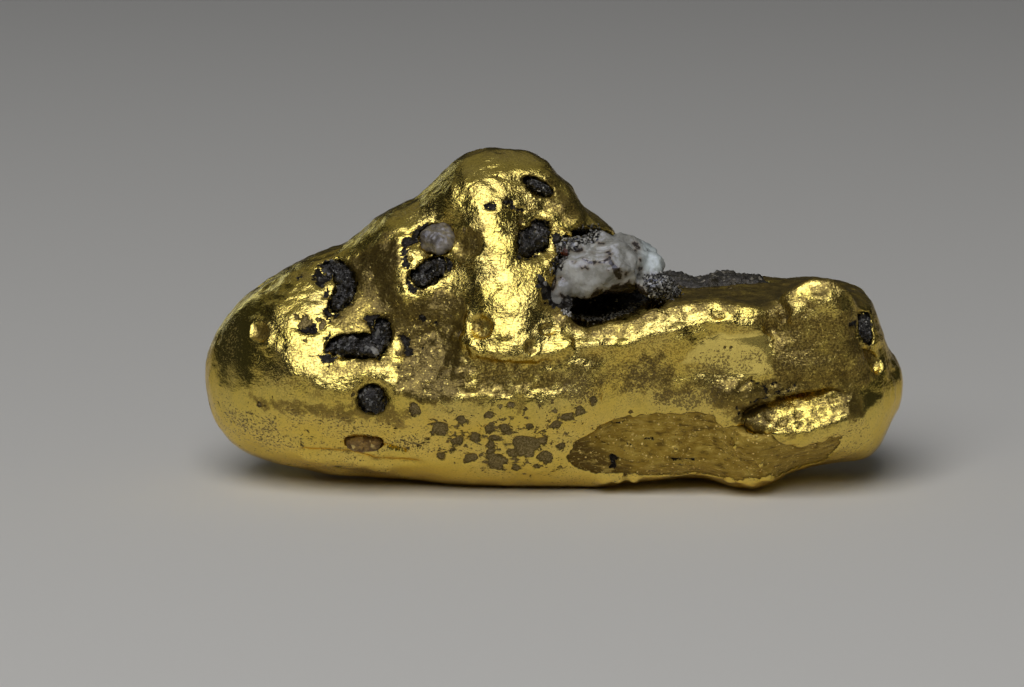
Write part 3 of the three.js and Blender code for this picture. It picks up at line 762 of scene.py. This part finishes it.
def masks(place, *names):
    # the attributes that saveMasks left on the piece
    nodes = [place.id_data.nodes.new("ShaderNodeAttribute") for name in names]
    for node, name in zip(nodes, names):
        node.attribute_name = name
    return [node.outputs["Fac"] for node in nodes]


def grain(place, size, detail, rough, kind="FBM"):
    inputs = {"Vector": place, "Scale": 1 / size, "Detail": detail, "Roughness": rough}
    return add("ShaderNodeTexNoise", inputs, noise_type=kind, normalize=True).outputs["Fac"]


def crystals(place, scale):
    # distance to the middle of the nearest crystal, and a random value for each crystal
    cells = add("ShaderNodeTexVoronoi", {"Vector": place, "Scale": scale})
    draw = add("ShaderNodeSeparateColor", {"Color": cells.outputs["Color"]}).outputs[0]
    return cells.outputs["Distance"], draw


def ramp(value, low, high, toLow=0.0, toHigh=1.0):
    inputs = {"Value": value, "From Min": low, "From Max": high, "To Min": toLow, "To Max": toHigh}
    return add("ShaderNodeMapRange", inputs, interpolation_type="SMOOTHSTEP").outputs["Result"]


def maths(operation, *values):
    total = values[0]
    for value in values[1:]:
        total = add("ShaderNodeMath", {0: total, 1: value}, operation=operation).outputs[0]
    return total


def plus(*values):
    return maths("ADD", *values)


def minus(first, second):
    return maths("SUBTRACT", first, second)


def times(*values):
    return maths("MULTIPLY", *values)


def largest(*values):
    return maths("MAXIMUM", *values)


def centred(value, gain, middle=0.5):
    return times(minus(value, middle), gain)


def mixValue(share, first, second):
    return add("ShaderNodeMix", {0: share, 2: first, 3: second}, data_type="FLOAT").outputs[0]


def mixColour(share, first, second):
    first, second = (value if isSocket(value) else (*value, 1) for value in (first, second))
    return add("ShaderNodeMix", {0: share, 6: first, 7: second}, data_type="RGBA").outputs[2]


def over(colour, coat, amount, low, high, share=1.0):
    # lays a coat over the colour where the amount rises from low to high
    return mixColour(ramp(amount, low, high, 0.0, share), colour, coat)


def bumps(layers):
    # layers: (height, depth in mm), coarse to fine, stacked on each other
    inputs = {"Strength": 1.0}
    for value, depth in layers:
        inputs |= {"Height": value, "Distance": depth * mm}
        inputs["Normal"] = add("ShaderNodeBump", inputs).outputs[0]
    return inputs["Normal"]


goldTones = {
    "rich": (0.87, 0.65, 0.125), "pale": (0.91, 0.7, 0.175), "patch": (0.98, 0.76, 0.19),
    "filmAndShadeDark": (0.17, 0.115, 0.022), "filmAndShadeLight": (0.37, 0.255, 0.055), "filmThickAndShade": (0.1, 0.065, 0.015),
    "patina": (0.33, 0.225, 0.05), "patinaOnFilm": (0.075, 0.05, 0.013),
    "coatDark": (0.29, 0.18, 0.022), "coatLight": (0.45, 0.31, 0.052), "slabLowEndDark": (0.085, 0.045, 0.007),
    "streakDark": (0.12, 0.07, 0.011), "streakLight": (0.6, 0.44, 0.1), "slabEdgeShade": (0.1, 0.06, 0.012),
    "fleck": (1.0, 0.78, 0.25),
    "pitDark": (0.06, 0.042, 0.018), "pitLight": (0.31, 0.235, 0.11), "pitEdgeShade": (0.03, 0.02, 0.01),
    "speck": (0.1, 0.068, 0.022),
    "matrixAndShadeDark": (0.008, 0.0065, 0.005), "matrixAndShadeLight": (0.055, 0.05, 0.042),
    "mirror": (1.0, 0.88, 0.62, 1),    # tint of its reflections
}


def goldMaterial():
    tones = goldTones
    material, shader, place = newMaterial("wornGold")
    slab, slabDark, filmAndShadeMask, hollow, patch = masks(place, "slab", "slabDark", "filmAndShade", "hollow", "patch")
    pitting, pitted, pocket, worn, speckle = masks(place, "pitting", "pitted", "pocket", "worn", "speckle")

    broad = grain(place, 2.2, 4, 0.55)
    medium = grain(place, 0.55, 5, 0.6)
    fine = grain(place, 0.17, 4, 0.65)
    dust = grain(place, 0.08, 2, 0.6)
    facets = grain(place, 0.14, 2, 0.5)
    sand = grain(place, 0.09, 2, 0.6)
    foam = grain(place, 0.42, 5, 0.7)

    metal = mixColour(ramp(broad, 0.35, 0.65), tones["rich"], tones["pale"])
    metal = mixColour(patch, metal, tones["patch"])
    # olive-brown film in the hollows and in patches, with clean metal glinting through; a few of the patches
    # are painted shade
    filmAndShadeField = plus(filmAndShadeMask, ramp(hollow, 0.5, 1.0, 0.0, 0.45), centred(medium, 1.6), centred(broad, 0.5))
    filmAndShade = ramp(plus(filmAndShadeField, centred(fine, 1.1), centred(dust, 0.6)), 0.3, 0.85)
    glints = ramp(plus(grain(place, 0.17, 3, 0.65), centred(medium, 0.4)), 0.59, 0.65)
    filmAndShade = times(filmAndShade, minus(1.0, times(glints, 0.7)))
    filmAndShadeColour = mixColour(ramp(medium, 0.35, 0.65), tones["filmAndShadeDark"], tones["filmAndShadeLight"])
    filmAndShadeColour = over(filmAndShadeColour, tones["filmThickAndShade"], plus(filmAndShadeMask, centred(medium, 0.5)), 0.8, 1.1)
    colour = mixColour(times(filmAndShade, 0.94), metal, filmAndShadeColour)
    # sandy patina, thinner where the gold is worn
    patina = ramp(plus(sand, centred(medium, 0.45), centred(broad, 0.25)), 0.43, 0.6)
    patina = times(patina, mixValue(worn, 0.85, 0.18))
    colour = mixColour(patina, colour, mixColour(filmAndShade, tones["patina"], tones["patinaOnFilm"]))
    # brown coat of the slab, made darker towards its low end, with flecks and beads of gold left in it
    slabField = plus(slab, centred(fine, 0.25), centred(medium, 0.2))
    slabEdge = ramp(slabField, 0.47, 0.53)
    slabShare = times(slabEdge, 0.95)
    lengthwise = grain(stretched(place, (1, 2.6, 2.6), (0, 0.1, 0)), 0.7, 5, 0.65)
    dashes = grain(stretched(place, (1, 3, 3), (0, 0.15, 0)), 0.3, 3, 0.6)
    coat = mixColour(ramp(medium, 0.3, 0.7), tones["coatDark"], tones["coatLight"])
    coat = over(coat, tones["slabLowEndDark"], plus(slabDark, centred(medium, 0.5)), 0.35, 0.9)
    coat = over(coat, tones["streakDark"], lengthwise, 0.52, 0.66)
    coat = over(coat, tones["streakLight"], lengthwise, 0.48, 0.36, 0.6)
    # dark border along the sunken edge of the slab: painted shade
    coat = over(coat, tones["slabEdgeShade"], slabField, 0.62, 0.5, 0.5)
    flecks = ramp(plus(grain(place, 0.13, 3, 0.7), centred(broad, 0.3)), 0.64, 0.68)
    flecks = largest(flecks, ramp(dashes, 0.66, 0.69))
    beadDistance, beadDraw = crystals(place, 3.9)
    bead = times(ramp(beadDistance, 0.26, 0.16), ramp(beadDraw, 0.5, 0.55), slabEdge)
    coat = mixColour(largest(times(flecks, 0.8), bead), coat, tones["fleck"])
    colour = mixColour(slabShare, colour, coat)
    # pits and sponge-like patches with grey-brown floors, and painted shade darkening their edges
    pitField = plus(pitting, centred(fine, 0.5), centred(medium, 0.35))
    sponge = plus(foam, centred(pitted, 0.16, 1.0), times(worn, 0.02))
    pits = largest(ramp(pitField, 0.47, 0.53), ramp(sponge, 0.57, 0.6))
    pits = times(pits, minus(1.0, slabEdge))
    pitFloors = largest(ramp(pitField, 0.53, 0.66), ramp(sponge, 0.6, 0.65))
    pitColour = mixColour(ramp(dust, 0.38, 0.66), tones["pitDark"], tones["pitLight"])
    # the ring between edge and floor: painted shade on the pit walls
    pitColour = mixColour(times(pits, minus(1.0, pitFloors)), pitColour, tones["pitEdgeShade"])
    colour = mixColour(times(pits, 0.9), colour, pitColour)
    # fine dark specks
    specks = plus(grain(place, 0.12, 3, 0.7), times(worn, 0.03), times(speckle, 0.12), centred(broad, 0.4))
    specks = ramp(specks, 0.655, 0.69)
    colour = mixColour(times(specks, 0.85), colour, tones["speck"])
    # black matrix in the pockets, and painted shade in the hollow under the quartz
    matrixAndShade = plus(pocket, centred(fine, 0.45), centred(medium, 0.35), centred(dust, 0.2))
    matrixAndShade = ramp(matrixAndShade, 0.485, 0.52)
    crystal = crystals(place, 7.0)[1]
    matrix = mixColour(ramp(crystal, 0.75, 0.95), tones["matrixAndShadeDark"], tones["matrixAndShadeLight"])
    colour = mixColour(matrixAndShade, colour, matrix)

    dull = largest(times(filmAndShade, 0.3), times(slabShare, 0.45), times(patch, 0.22))
    dull = largest(dull, times(pits, 0.8), times(specks, 0.8), matrixAndShade)
    roughness = mixValue(filmAndShade, mixValue(worn, 0.2, 0.15), 0.3)
    for share, coarse in ((slabShare, 0.5), (pits, 0.65), (matrixAndShade, 0.35)):
        roughness = mixValue(share, roughness, coarse)
    wrinkles = grain(place, 0.3, 5, 0.62)
    scratches = grain(stretched(place, (0.8, 6, 6), (0.3, 0.5, 0.2)), 0.4, 3, 0.6)
    keen = times(mixValue(worn, 1.0, 0.2), ramp(grain(place, 0.9, 3, 0.5), 0.35, 0.6, 0.55, 1.1))
    relief = [
        (times(wrinkles, keen), 0.045),
        (times(facets, keen), 0.036),
        (times(dust, keen), 0.012),
        (times(scratches, keen), 0.02),
        (times(pits, -1.0), 0.06),
        (times(slabEdge, -1.0), 0.05),
        (times(slabEdge, lengthwise), -0.12),
        (times(matrixAndShade, minus(crystal, 1.2)), 0.06),
        (bead, 0.05),
    ]
    feed(shader, {
        "Base Color": colour,
        "Metallic": minus(1.0, dull),
        "Roughness": roughness,
        "Specular IOR Level": mixValue(largest(matrixAndShade, pits), 0.3, 0.12),
        "Specular Tint": tones["mirror"],
        "Normal": bumps(relief),
    })
    return material


stoneMirror = (1.0, 0.88, 0.68, 1)     # warm tint of the reflections in the dark stones
stones = {
    # dark body, lighter crystals, painted glints on some crystal faces, roughness, crystal size and relief in
    # mm
    "ironstone": ((0.004, 0.004, 0.004), (0.022, 0.022, 0.021), (0.12, 0.12, 0.115), 0.3, 0.13, 0.045),
    "crustStone": ((0.016, 0.014, 0.01), (0.1, 0.088, 0.062), (0.22, 0.2, 0.16), 0.55, 0.22, 0.06),
    "limonite": ((0.1, 0.05, 0.01), (0.42, 0.26, 0.07), (0.6, 0.45, 0.15), 0.6, 0.22, 0.06),
    "jasper": ((0.02, 0.004, 0.003), (0.13, 0.018, 0.008), (0.35, 0.07, 0.03), 0.35, 0.22, 0.06),
}


def stoneMaterial(name):
    dark, light, paintedGlint, roughness, size, depth = stones[name]
    material, shader, place = newMaterial(name)
    crystal = crystals(place, 1 / size)[1]
    fine = grain(place, size * 0.5, 4, 0.65)
    colour = mixColour(ramp(times(crystal, fine), 0.1, 0.75), dark, light)
    # a pale colour on a few crystal faces: painted glints
    feed(shader, {
        "Base Color": over(colour, paintedGlint, crystal, 0.9, 0.93),
        "Roughness": ramp(crystal, 0.2, 0.9, roughness, roughness * 0.4),
        "Specular Tint": stoneMirror,
        "Normal": bumps([(crystal, depth * 0.6), (fine, depth)]),
    })
    return material


def smokyMaterial():
    material, shader, place = newMaterial("smokyQuartz")
    medium = grain(place, 0.5, 4, 0.55)
    fine = grain(place, 0.16, 3, 0.6)
    colour = mixColour(ramp(medium, 0.36, 0.62), (0.07, 0.058, 0.045), (0.2, 0.178, 0.148))
    feed(shader, {
        "Base Color": over(colour, (0.05, 0.035, 0.02), fine, 0.62, 0.7, 0.8),
        "Roughness": ramp(fine, 0.3, 0.7, 0.2, 0.45),
        "Normal": bumps([(medium, 0.05), (fine, 0.03)]),
    })
    return material


raggedStone = ("ironstone", "ironstone", 0.055, -0.08, 0.55, 0.3, 0.22, 0.12)
minerals = {
    # node: material, slot, voxel, inflate, noise size and height, cell size and height in mm
    "ironstone_wedge": raggedStone,
    "ironstone_hook": raggedStone,
    "ironstone_elbow": raggedStone,
    "ironstone_bead": ("ironstone", "ironstone", 0.06, -0.04, 0.6, 0.14, 0.5, 0.14),
    "ironstone_eye": ("ironstone", "ironstone", 0.055, -0.04, 0.5, 0.22, 0.22, 0.12),
    "ironstone_sliver": ("ironstone", "ironstone", 0.05, -0.06, 0.3, 0.06, 0.2, 0.12),
    "ironstone_end": ("ironstone", "ironstone", 0.05, -0.05, 0.3, 0.06, 0.2, 0.12),
    "ironstone_crust": ("crustStone", "ironstone", 0.08, 0.0, 0.7, 0.14, 0.22, 0.16),
    "quartz_small": ("smokyQuartz", "smoky_quartz", 0.05, 0.1, 0.7, 0.16, 1.0, 0.42),
    "limonite_pebble": ("limonite", "limonite", 0.06, 0.08, 0.5, 0.05, 0.3, 0.08),
    "jasper_grain": ("jasper", "jasper", 0.05, 0.06, 0.4, 0.04, 0.25, 0.06),
}


def sculptMineral(nodeName, materials):
    stone, slot, voxel, inflate, noiseSize, noiseHeight, cellSize, cellHeight = minerals[nodeName]
    piece = workingCopy(nodeName, nodeName.replace("_", "") + "Grain")
    voxelRemesh(piece, voxel)
    smoothed(piece, 4)
    points, normals = surfaceOf(piece)
    cells = cellsAt(points, cellSize, 3)
    height = inflate + noiseHeight * noiseAt(points, noiseSize, 3, 5) + cellHeight * (0.5 - cells[:, 0])
    movePoints(piece, points + normals * height[:, None])
    finishPiece(piece, materials[stone], slot, nodeName)
    return piece


quartz = {  # sizes and heights in mm
    "voxel": 0.075,
    "chips": 10,               # flat faces broken off each lump
    "chipDepth": (0.72, 0.95),
    "seed": 4,
    "noiseSize": 0.9, "noiseHeight": 0.1,
    "stepSize": 0.8, "stepHeight": 0.07,
    "grainSize": 0.22, "grainHeight": 0.16,
    "layerWaves": 32, "layerHeight": 0.05,
    "grey": (0.24, 0.235, 0.21), "milky": (0.44, 0.44, 0.42), "paleEnd": (0.52, 0.58, 0.59),
    "clearCorner": (0.2, 0.195, 0.18), "crack": (0.16, 0.13, 0.1), "layer": (0.18, 0.15, 0.12),
    "breath": (0.17, 0.11, 0.05), "seamAndShade": (0.018, 0.011, 0.006), "speck": (0.05, 0.035, 0.02),
    "grainDark": (0.012, 0.011, 0.01), "grainLight": (0.42, 0.41, 0.38),
}
# Lumps that the quartz is made of: middle x, y, z and half-sizes in mm.
quartzLumps = [
    (0.25, -4.25, 10.45, 0.75, 0.65, 0.9), (1.45, -3.8, 11.25, 1.5, 1.1, 1.3),
    (0.95, -3.2, 12.35, 0.9, 1, 0.7), (2.8, -3.6, 11.55, 1.5, 1.5, 1.3), (2.3, -2.6, 12.2, 1.4, 1.5, 1),
    (3.4, -2.6, 11.9, 1.2, 1.5, 1.2), (4.75, -2.5, 11.35, 0.85, 1, 0.78), (5, -3.1, 10.55, 1.1, 1, 0.65),
    (5.6, -3, 10.2, 0.6, 0.6, 0.4), (2.9, -1.3, 11.3, 2.6, 1.9, 1.5),
]
# All the outlines and lines below are in x and in height across the line of sight, in mm.
# the underside over the hollow, painted dark as shade
quartzUnderside = [
    [0.6, 8.9], [1.1, 9.1], [1.74, 9.3], [1.85, 9.5], [2.05, 9.68], [2.3, 9.62], [2.3, 9.46], [2.55, 9.65],
    [2.86, 9.81], [3.3, 9.9], [3.61, 9.96], [4.18, 9.87], [4.36, 9.71], [4.8, 9.28], [4.8, 8.3], [0.6, 8.3],
]
quartzLines = [
    # brown seams: half-width, points
    (0.07, [0.3, 9.35], [0.6, 9.15], [1.1, 9.2]), (0.05, [-0.1, 10.4], [0.05, 10.05], [-0.1, 9.6]),
    (0.025, [0.2, 10.25], [0.45, 10.1]), (0.05, [1.2, 11.95], [1.9, 12.05], [2.4, 11.85]),
    (0.04, [2.5, 11.45], [2.75, 11.3]), (0.05, [3.1, 10.6], [3.25, 10.5]),
    (0.07, [3.9, 11.9], [4.15, 11.7]), (0.07, [0.74, 11.59], [1.18, 11.53], [1.3, 11.59]),
    (0.05, [1.36, 11.09], [1.68, 10.96], [2.05, 10.92], [2.43, 10.96], [2.68, 11.15]),
    (0.05, [1.27, 10.74], [1.36, 10.65]), (0.05, [1.46, 10.74], [1.61, 10.6]),
    (0.03, [0.8, 10.99], [0.99, 10.93]), (0.1, [2.74, 10.9], [2.89, 10.71], [3.02, 10.46], [3.18, 10.18]),
    (0.07, [3.49, 10.39]), (0.06, [4.2, 11.07]), (0.09, [4.2, 10.64]), (0.06, [3.67, 10.01]),
    (0.03, [2.6, 10.56]), (0.06, [3.99, 11.59]),
]
quartzMixes = [
    # where the quartz breaks down into black and white grains
    [[4.36, 10.34], [4.55, 10.4], [5.05, 10.4], [5.43, 10.65], [5.74, 10.53], [5.93, 10.15], [6.4, 9.9],
     [6.4, 9.3], [5.3, 8.9], [4.8, 9.2], [4.36, 9.78]],
    [[0.05, 11.65], [0.3, 12.28], [0.86, 12.21], [1.24, 12.84], [2.18, 12.96], [2.3, 12.4], [2.05, 11.95],
     [1.68, 11.84], [1.18, 11.65], [0.74, 11.46], [0.6, 11.15], [0.4, 10.65], [0.05, 10.4], [-0.25, 10.15],
     [-0.25, 10.71]],
]
quartzLayers = [[1.3, 11.5], [1.8, 11.85], [2.8, 11.7], [2.9, 11.2], [2.4, 10.95], [1.5, 11]]


def quartzMaterial():
    tones = quartz
    material, shader, place = newMaterial("milkyQuartz")
    stainAndShade, mixed, layers, pale, clear = masks(place, "stainAndShade", "mixed", "layers", "pale", "clear")
    broad = grain(place, 1.4, 4, 0.55)
    medium = grain(place, 0.35, 5, 0.6)
    fine = grain(place, 0.12, 3, 0.6)
    cracks = grain(place, 0.8, 5, 0.62, "RIDGED_MULTIFRACTAL")
    colour = mixColour(ramp(broad, 0.35, 0.68), tones["grey"], tones["milky"])
    colour = mixColour(times(pale, 0.8), colour, tones["paleEnd"])
    colour = mixColour(times(clear, 0.75), colour, tones["clearCorner"])
    colour = over(colour, tones["crack"], cracks, 0.62, 0.95, 0.35)
    colour = mixColour(times(layers, ramp(medium, 0.45, 0.6, 0.0, 0.5)), colour, tones["layer"])
    # faint brown breath round the seams and round the underside, then the seams themselves and the painted
    # shade on the underside
    colour = over(colour, tones["breath"], plus(stainAndShade, centred(medium, 0.7)), 0.15, 0.62, 0.6)
    seamAndShade = plus(stainAndShade, centred(fine, 0.5), centred(medium, 0.5))
    colour = over(colour, tones["seamAndShade"], seamAndShade, 0.46, 0.54, 0.95)
    # black and white grains
    grains = mixColour(ramp(crystals(place, 6.5)[1], 0.3, 0.9), tones["grainDark"], tones["grainLight"])
    colour = over(colour, grains, plus(mixed, centred(medium, 0.6)), 0.46, 0.58)
    feed(shader, {
        "Base Color": over(colour, tones["speck"], fine, 0.7, 0.74, 0.8),
        "Roughness": ramp(medium, 0.3, 0.7, 0.16, 0.38),
        "Subsurface Weight": 0.15,
        "Subsurface Scale": 0.5 * mm,
        "Subsurface Radius": (1.0, 0.95, 0.9),
        "Normal": bumps([(medium, 0.05), (cracks, 0.03), (fine, 0.02)]),
    })
    return material


def brokenLump(middle, halfSizes, draw):
    # a rounded lump with flat faces broken off it
    lump = bmesh.new()
    size = Matrix.Diagonal((*halfSizes, 1))
    bmesh.ops.create_icosphere(lump, subdivisions=3, radius=1.0, matrix=Matrix.Translation(middle) @ size)
    low, high = quartz["chipDepth"]
    for _ in range(quartz["chips"]):
        outward = Vector(draw.normal(size=3)).normalized()
        reach = max((v.co - middle).dot(outward) for v in lump.verts)
        at = middle + outward * reach * (low + (high - low) * draw.random())
        everything = lump.verts[:] + lump.edges[:] + lump.faces[:]
        cut = bmesh.ops.bisect_plane(lump, geom=everything, plane_co=at, plane_no=outward, clear_outer=True)
        rim = [e for e in cut["geom_cut"] if isinstance(e, bmesh.types.BMEdge)]
        bmesh.ops.edgeloop_fill(lump, edges=rim)
    bmesh.ops.recalc_face_normals(lump, faces=lump.faces)
    return meshFrom(lump, "lump")


def sculptQuartz():
    work = bmesh.new()
    draw = np.random.default_rng(quartz["seed"])
    for x, y, z, *halfSizes in quartzLumps:
        loose = brokenLump(Vector((x, y, z)), halfSizes, draw)
        work.from_mesh(loose)
        bpy.data.meshes.remove(loose)
    piece = placed("quartzChunk", meshFrom(work, "quartzChunk"))
    voxelRemesh(piece, quartz["voxel"])
    smoothed(piece, 5)
    points, normals = surfaceOf(piece)
    seen = acrossSight(points)
    steps = cellsAt(points, quartz["stepSize"], 2)
    height = quartz["noiseHeight"] * noiseAt(points, quartz["noiseSize"], 4, 2)
    height += quartz["stepHeight"] * (steps[:, 1] - steps[:, 0] - 0.3)
    mixed = np.max([smoothStep(-0.1, 0.15, insideOutline(seen, outline)) for outline in quartzMixes], axis=0)
    height += mixed * quartz["grainHeight"] * (0.5 - cellsAt(points, quartz["grainSize"], 7)[:, 0])
    layers = smoothStep(-0.1, 0.2, insideOutline(seen, quartzLayers))
    bent = seen[:, 1] - 0.25 * (seen[:, 0] - 2.0) ** 2
    height += layers * quartz["layerHeight"] * np.sin(bent * quartz["layerWaves"])
    movePoints(piece, points + normals * height[:, None])

    points = pointsOf(piece)
    seen = acrossSight(points)
    wobble = wobbleAt(points, 0.3, 3, 1)
    # the underside is painted dark as shade, the lines are brown seams
    stainAndShade = 0.5 + insideOutline(seen + 0.1 * wobble, quartzUnderside) / 0.4
    for halfWidth, *line in quartzLines:
        stainAndShade = np.maximum(stainAndShade, 0.5 + (halfWidth - lineDistance(seen + 0.06 * wobble, line)) / 0.4)
    saveMasks(piece, {
        "stainAndShade": np.clip(stainAndShade, 0, 1),
        "mixed": np.max([0.5 + insideOutline(seen + 0.12 * wobble, o) / 0.5 for o in quartzMixes], axis=0),
        "layers": layers,
        "pale": smoothStep(4.0, 4.6, seen[:, 0]) * smoothStep(10.3, 10.8, seen[:, 1]),
        "clear": smoothStep(0.95, 0.6, np.linalg.norm((seen - [0.35, 9.65]) / [0.75, 1.0], axis=1)),
    })
    return piece


# Small crystals scattered in the black matrix; the few pale ones are also painted glints.
grit = {
    "seed": 8,
    "size": (0.022, 0.075),     # mm, half-width of a crystal
    "inPockets": 1500,
    "onGrains": 1800,
    "alongRim": 600,
    "inMixes": 700,
    "dark": (0.012, 0.012, 0.011), "light": (0.42, 0.41, 0.38), "shade": (0.03, 0.026, 0.02),
}
# Larger crystals in the pockets: x, height across the line of sight, half-size, tone.
pocketCrystals = [
    (-8.6, 7.45, 0.27, 0.62), (-8.85, 6.6, 0.24, 0.7), (-9.2, 6.62, 0.18, 0.55), (-8.5, 4.68, 0.3, 0.45),
    (-11.35, 10.5, 0.26, 0.5), (-11.1, 10.3, 0.18, 0.42), (-6.3, 12.0, 0.22, 0.45),
    (-0.9, 12.35, 0.24, 0.5), (-0.6, 12.0, 0.16, 0.35), (-0.75, 10.15, 0.2, 0.45), (-0.85, 9.75, 0.16, 0.4),
    (-0.5, 9.9, 0.14, 0.55), (15.2, 8.3, 0.15, 0.4),
]
# along the lower rim of the hollow: a line of pale crystals, also painted glints
gritRim = [
    [0.36, 8.55], [0.67, 8.42], [1.05, 8.32], [1.49, 8.24], [1.93, 8.2], [2.43, 8.2], [2.93, 8.31],
    [3.43, 8.5], [3.93, 8.7], [4.18, 8.9], [4.49, 9.1], [4.7, 9.3],
]


def gritMaterial():
    material, shader, place = newMaterial("matrixCrystals")
    fine = grain(place, 0.1, 3, 0.6)
    colour = mixColour(ramp(masks(place, "tone")[0], 0.35, 1.0), grit["dark"], grit["light"])
    feed(shader, {
        "Base Color": over(colour, grit["shade"], fine, 0.5, 0.65, 0.5),
        "Roughness": ramp(fine, 0.3, 0.7, 0.1, 0.35),
        "Specular Tint": stoneMirror,
    })
    return material


def scatterGrit(goldPiece, quartzPiece, stonePieces):
    draw = np.random.default_rng(grit["seed"])
    tilt = math.radians(stage["elevation"])
    up = Vector((0, math.sin(tilt), math.cos(tilt)))
    ahead = Vector((0, math.cos(tilt), -math.sin(tilt)))
    trees = [searchTree(piece.data) for piece in [goldPiece, quartzPiece] + stonePieces]

    def seenAt(x, height):
        # the nearest surface along the line of sight
        start = Vector((x, 0, 0)) + up * height - ahead * 60
        hits = [tree.ray_cast(start, ahead) for tree in trees]
        hits = [hit for hit in hits if hit[0] is not None]
        return min(hits, key=lambda hit: hit[3])[0] if hits else None

    def matrixSize():
        low, high = grit["size"]
        return low + (high - low) * draw.random() ** 2

    spots = []  # point, size, tone
    points = pointsOf(goldPiece) / mm
    pocket = np.zeros(len(points))
    goldPiece.data.attributes["pocket"].data.foreach_get("value", pocket)
    # mostly black, a few pale ones that are also painted glints
    for i in draw.choice(np.nonzero(pocket > 0.62)[0], grit["inPockets"]):
        spots.append((points[i], matrixSize(), draw.random() ** 6))
    for piece in stonePieces:
        points = pointsOf(piece) / mm
        for i in draw.choice(len(points), grit["onGrains"] // len(stonePieces)):
            spots.append((points[i], matrixSize(), draw.random() ** 6))
    rim = np.array(gritRim)
    for _ in range(grit["alongRim"]):
        part = draw.random() * (len(rim) - 1)
        first = int(part)
        at = rim[first] + (rim[first + 1] - rim[first]) * (part - first) + draw.normal(size=2) * [0.05, 0.07]
        found = seenAt(*at)
        if found is not None:
            spots.append((found, 0.03 + 0.05 * draw.random(), draw.random() ** 0.7))
    for outline in quartzMixes:
        corners = np.array(outline)
        for _ in range(grit["inMixes"]):
            at = corners.min(axis=0) + (corners.max(axis=0) - corners.min(axis=0)) * draw.random(2)
            if insideOutline(at[None, :], outline)[0] < 0:
                continue
            found = seenAt(*at)
            if found is not None:
                spots.append((found, 0.025 + 0.055 * draw.random() ** 1.5, draw.random() ** 1.3 * 0.85))
    for x, height, size, tone in pocketCrystals:
        found = seenAt(x, height)
        if found is not None:
            spots.append((found + ahead * size * 0.35, size, tone))

    work = bmesh.new()
    tones = []
    for place, size, tone in spots:
        turn = Matrix.Rotation(draw.random() * 6.28, 4, Vector(draw.normal(size=3)))
        width, height = 0.6 + 0.4 * draw.random(), 0.7 + 0.9 * draw.random()
        shape = Matrix.Diagonal((size, size * width, size * height, 1))
        lie = Matrix.Translation(Vector(place)) @ turn @ shape
        made = bmesh.ops.create_icosphere(work, subdivisions=1, radius=1.0, matrix=lie)
        tones += [tone] * len(made["verts"])
    piece = placed("matrixGrit", meshFrom(work, "matrixGrit"))
    saveMasks(piece, {"tone": np.array(tones)})
    return piece


goldPiece = sculptGold()
finishPiece(goldPiece, goldMaterial(), "gold", "gold_body")
print("gold done:", len(goldPiece.data.polygons), "faces")

materials = {name: stoneMaterial(name) for name in stones}
materials["smokyQuartz"] = smokyMaterial()
grains = {name: sculptMineral(name, materials) for name in minerals}
stonePieces = [piece for name, piece in grains.items() if minerals[name][0] == "ironstone"]
quartzPiece = sculptQuartz()
finishPiece(quartzPiece, quartzMaterial(), "quartz", "quartz_chunk")
print("minerals done")

gritPiece = scatterGrit(goldPiece, quartzPiece, stonePieces)
finishPiece(gritPiece, gritMaterial(), "ironstone")
for face in gritPiece.data.polygons:
    face.use_smooth = False
print("grit done:", len(gritPiece.data.polygons), "faces")
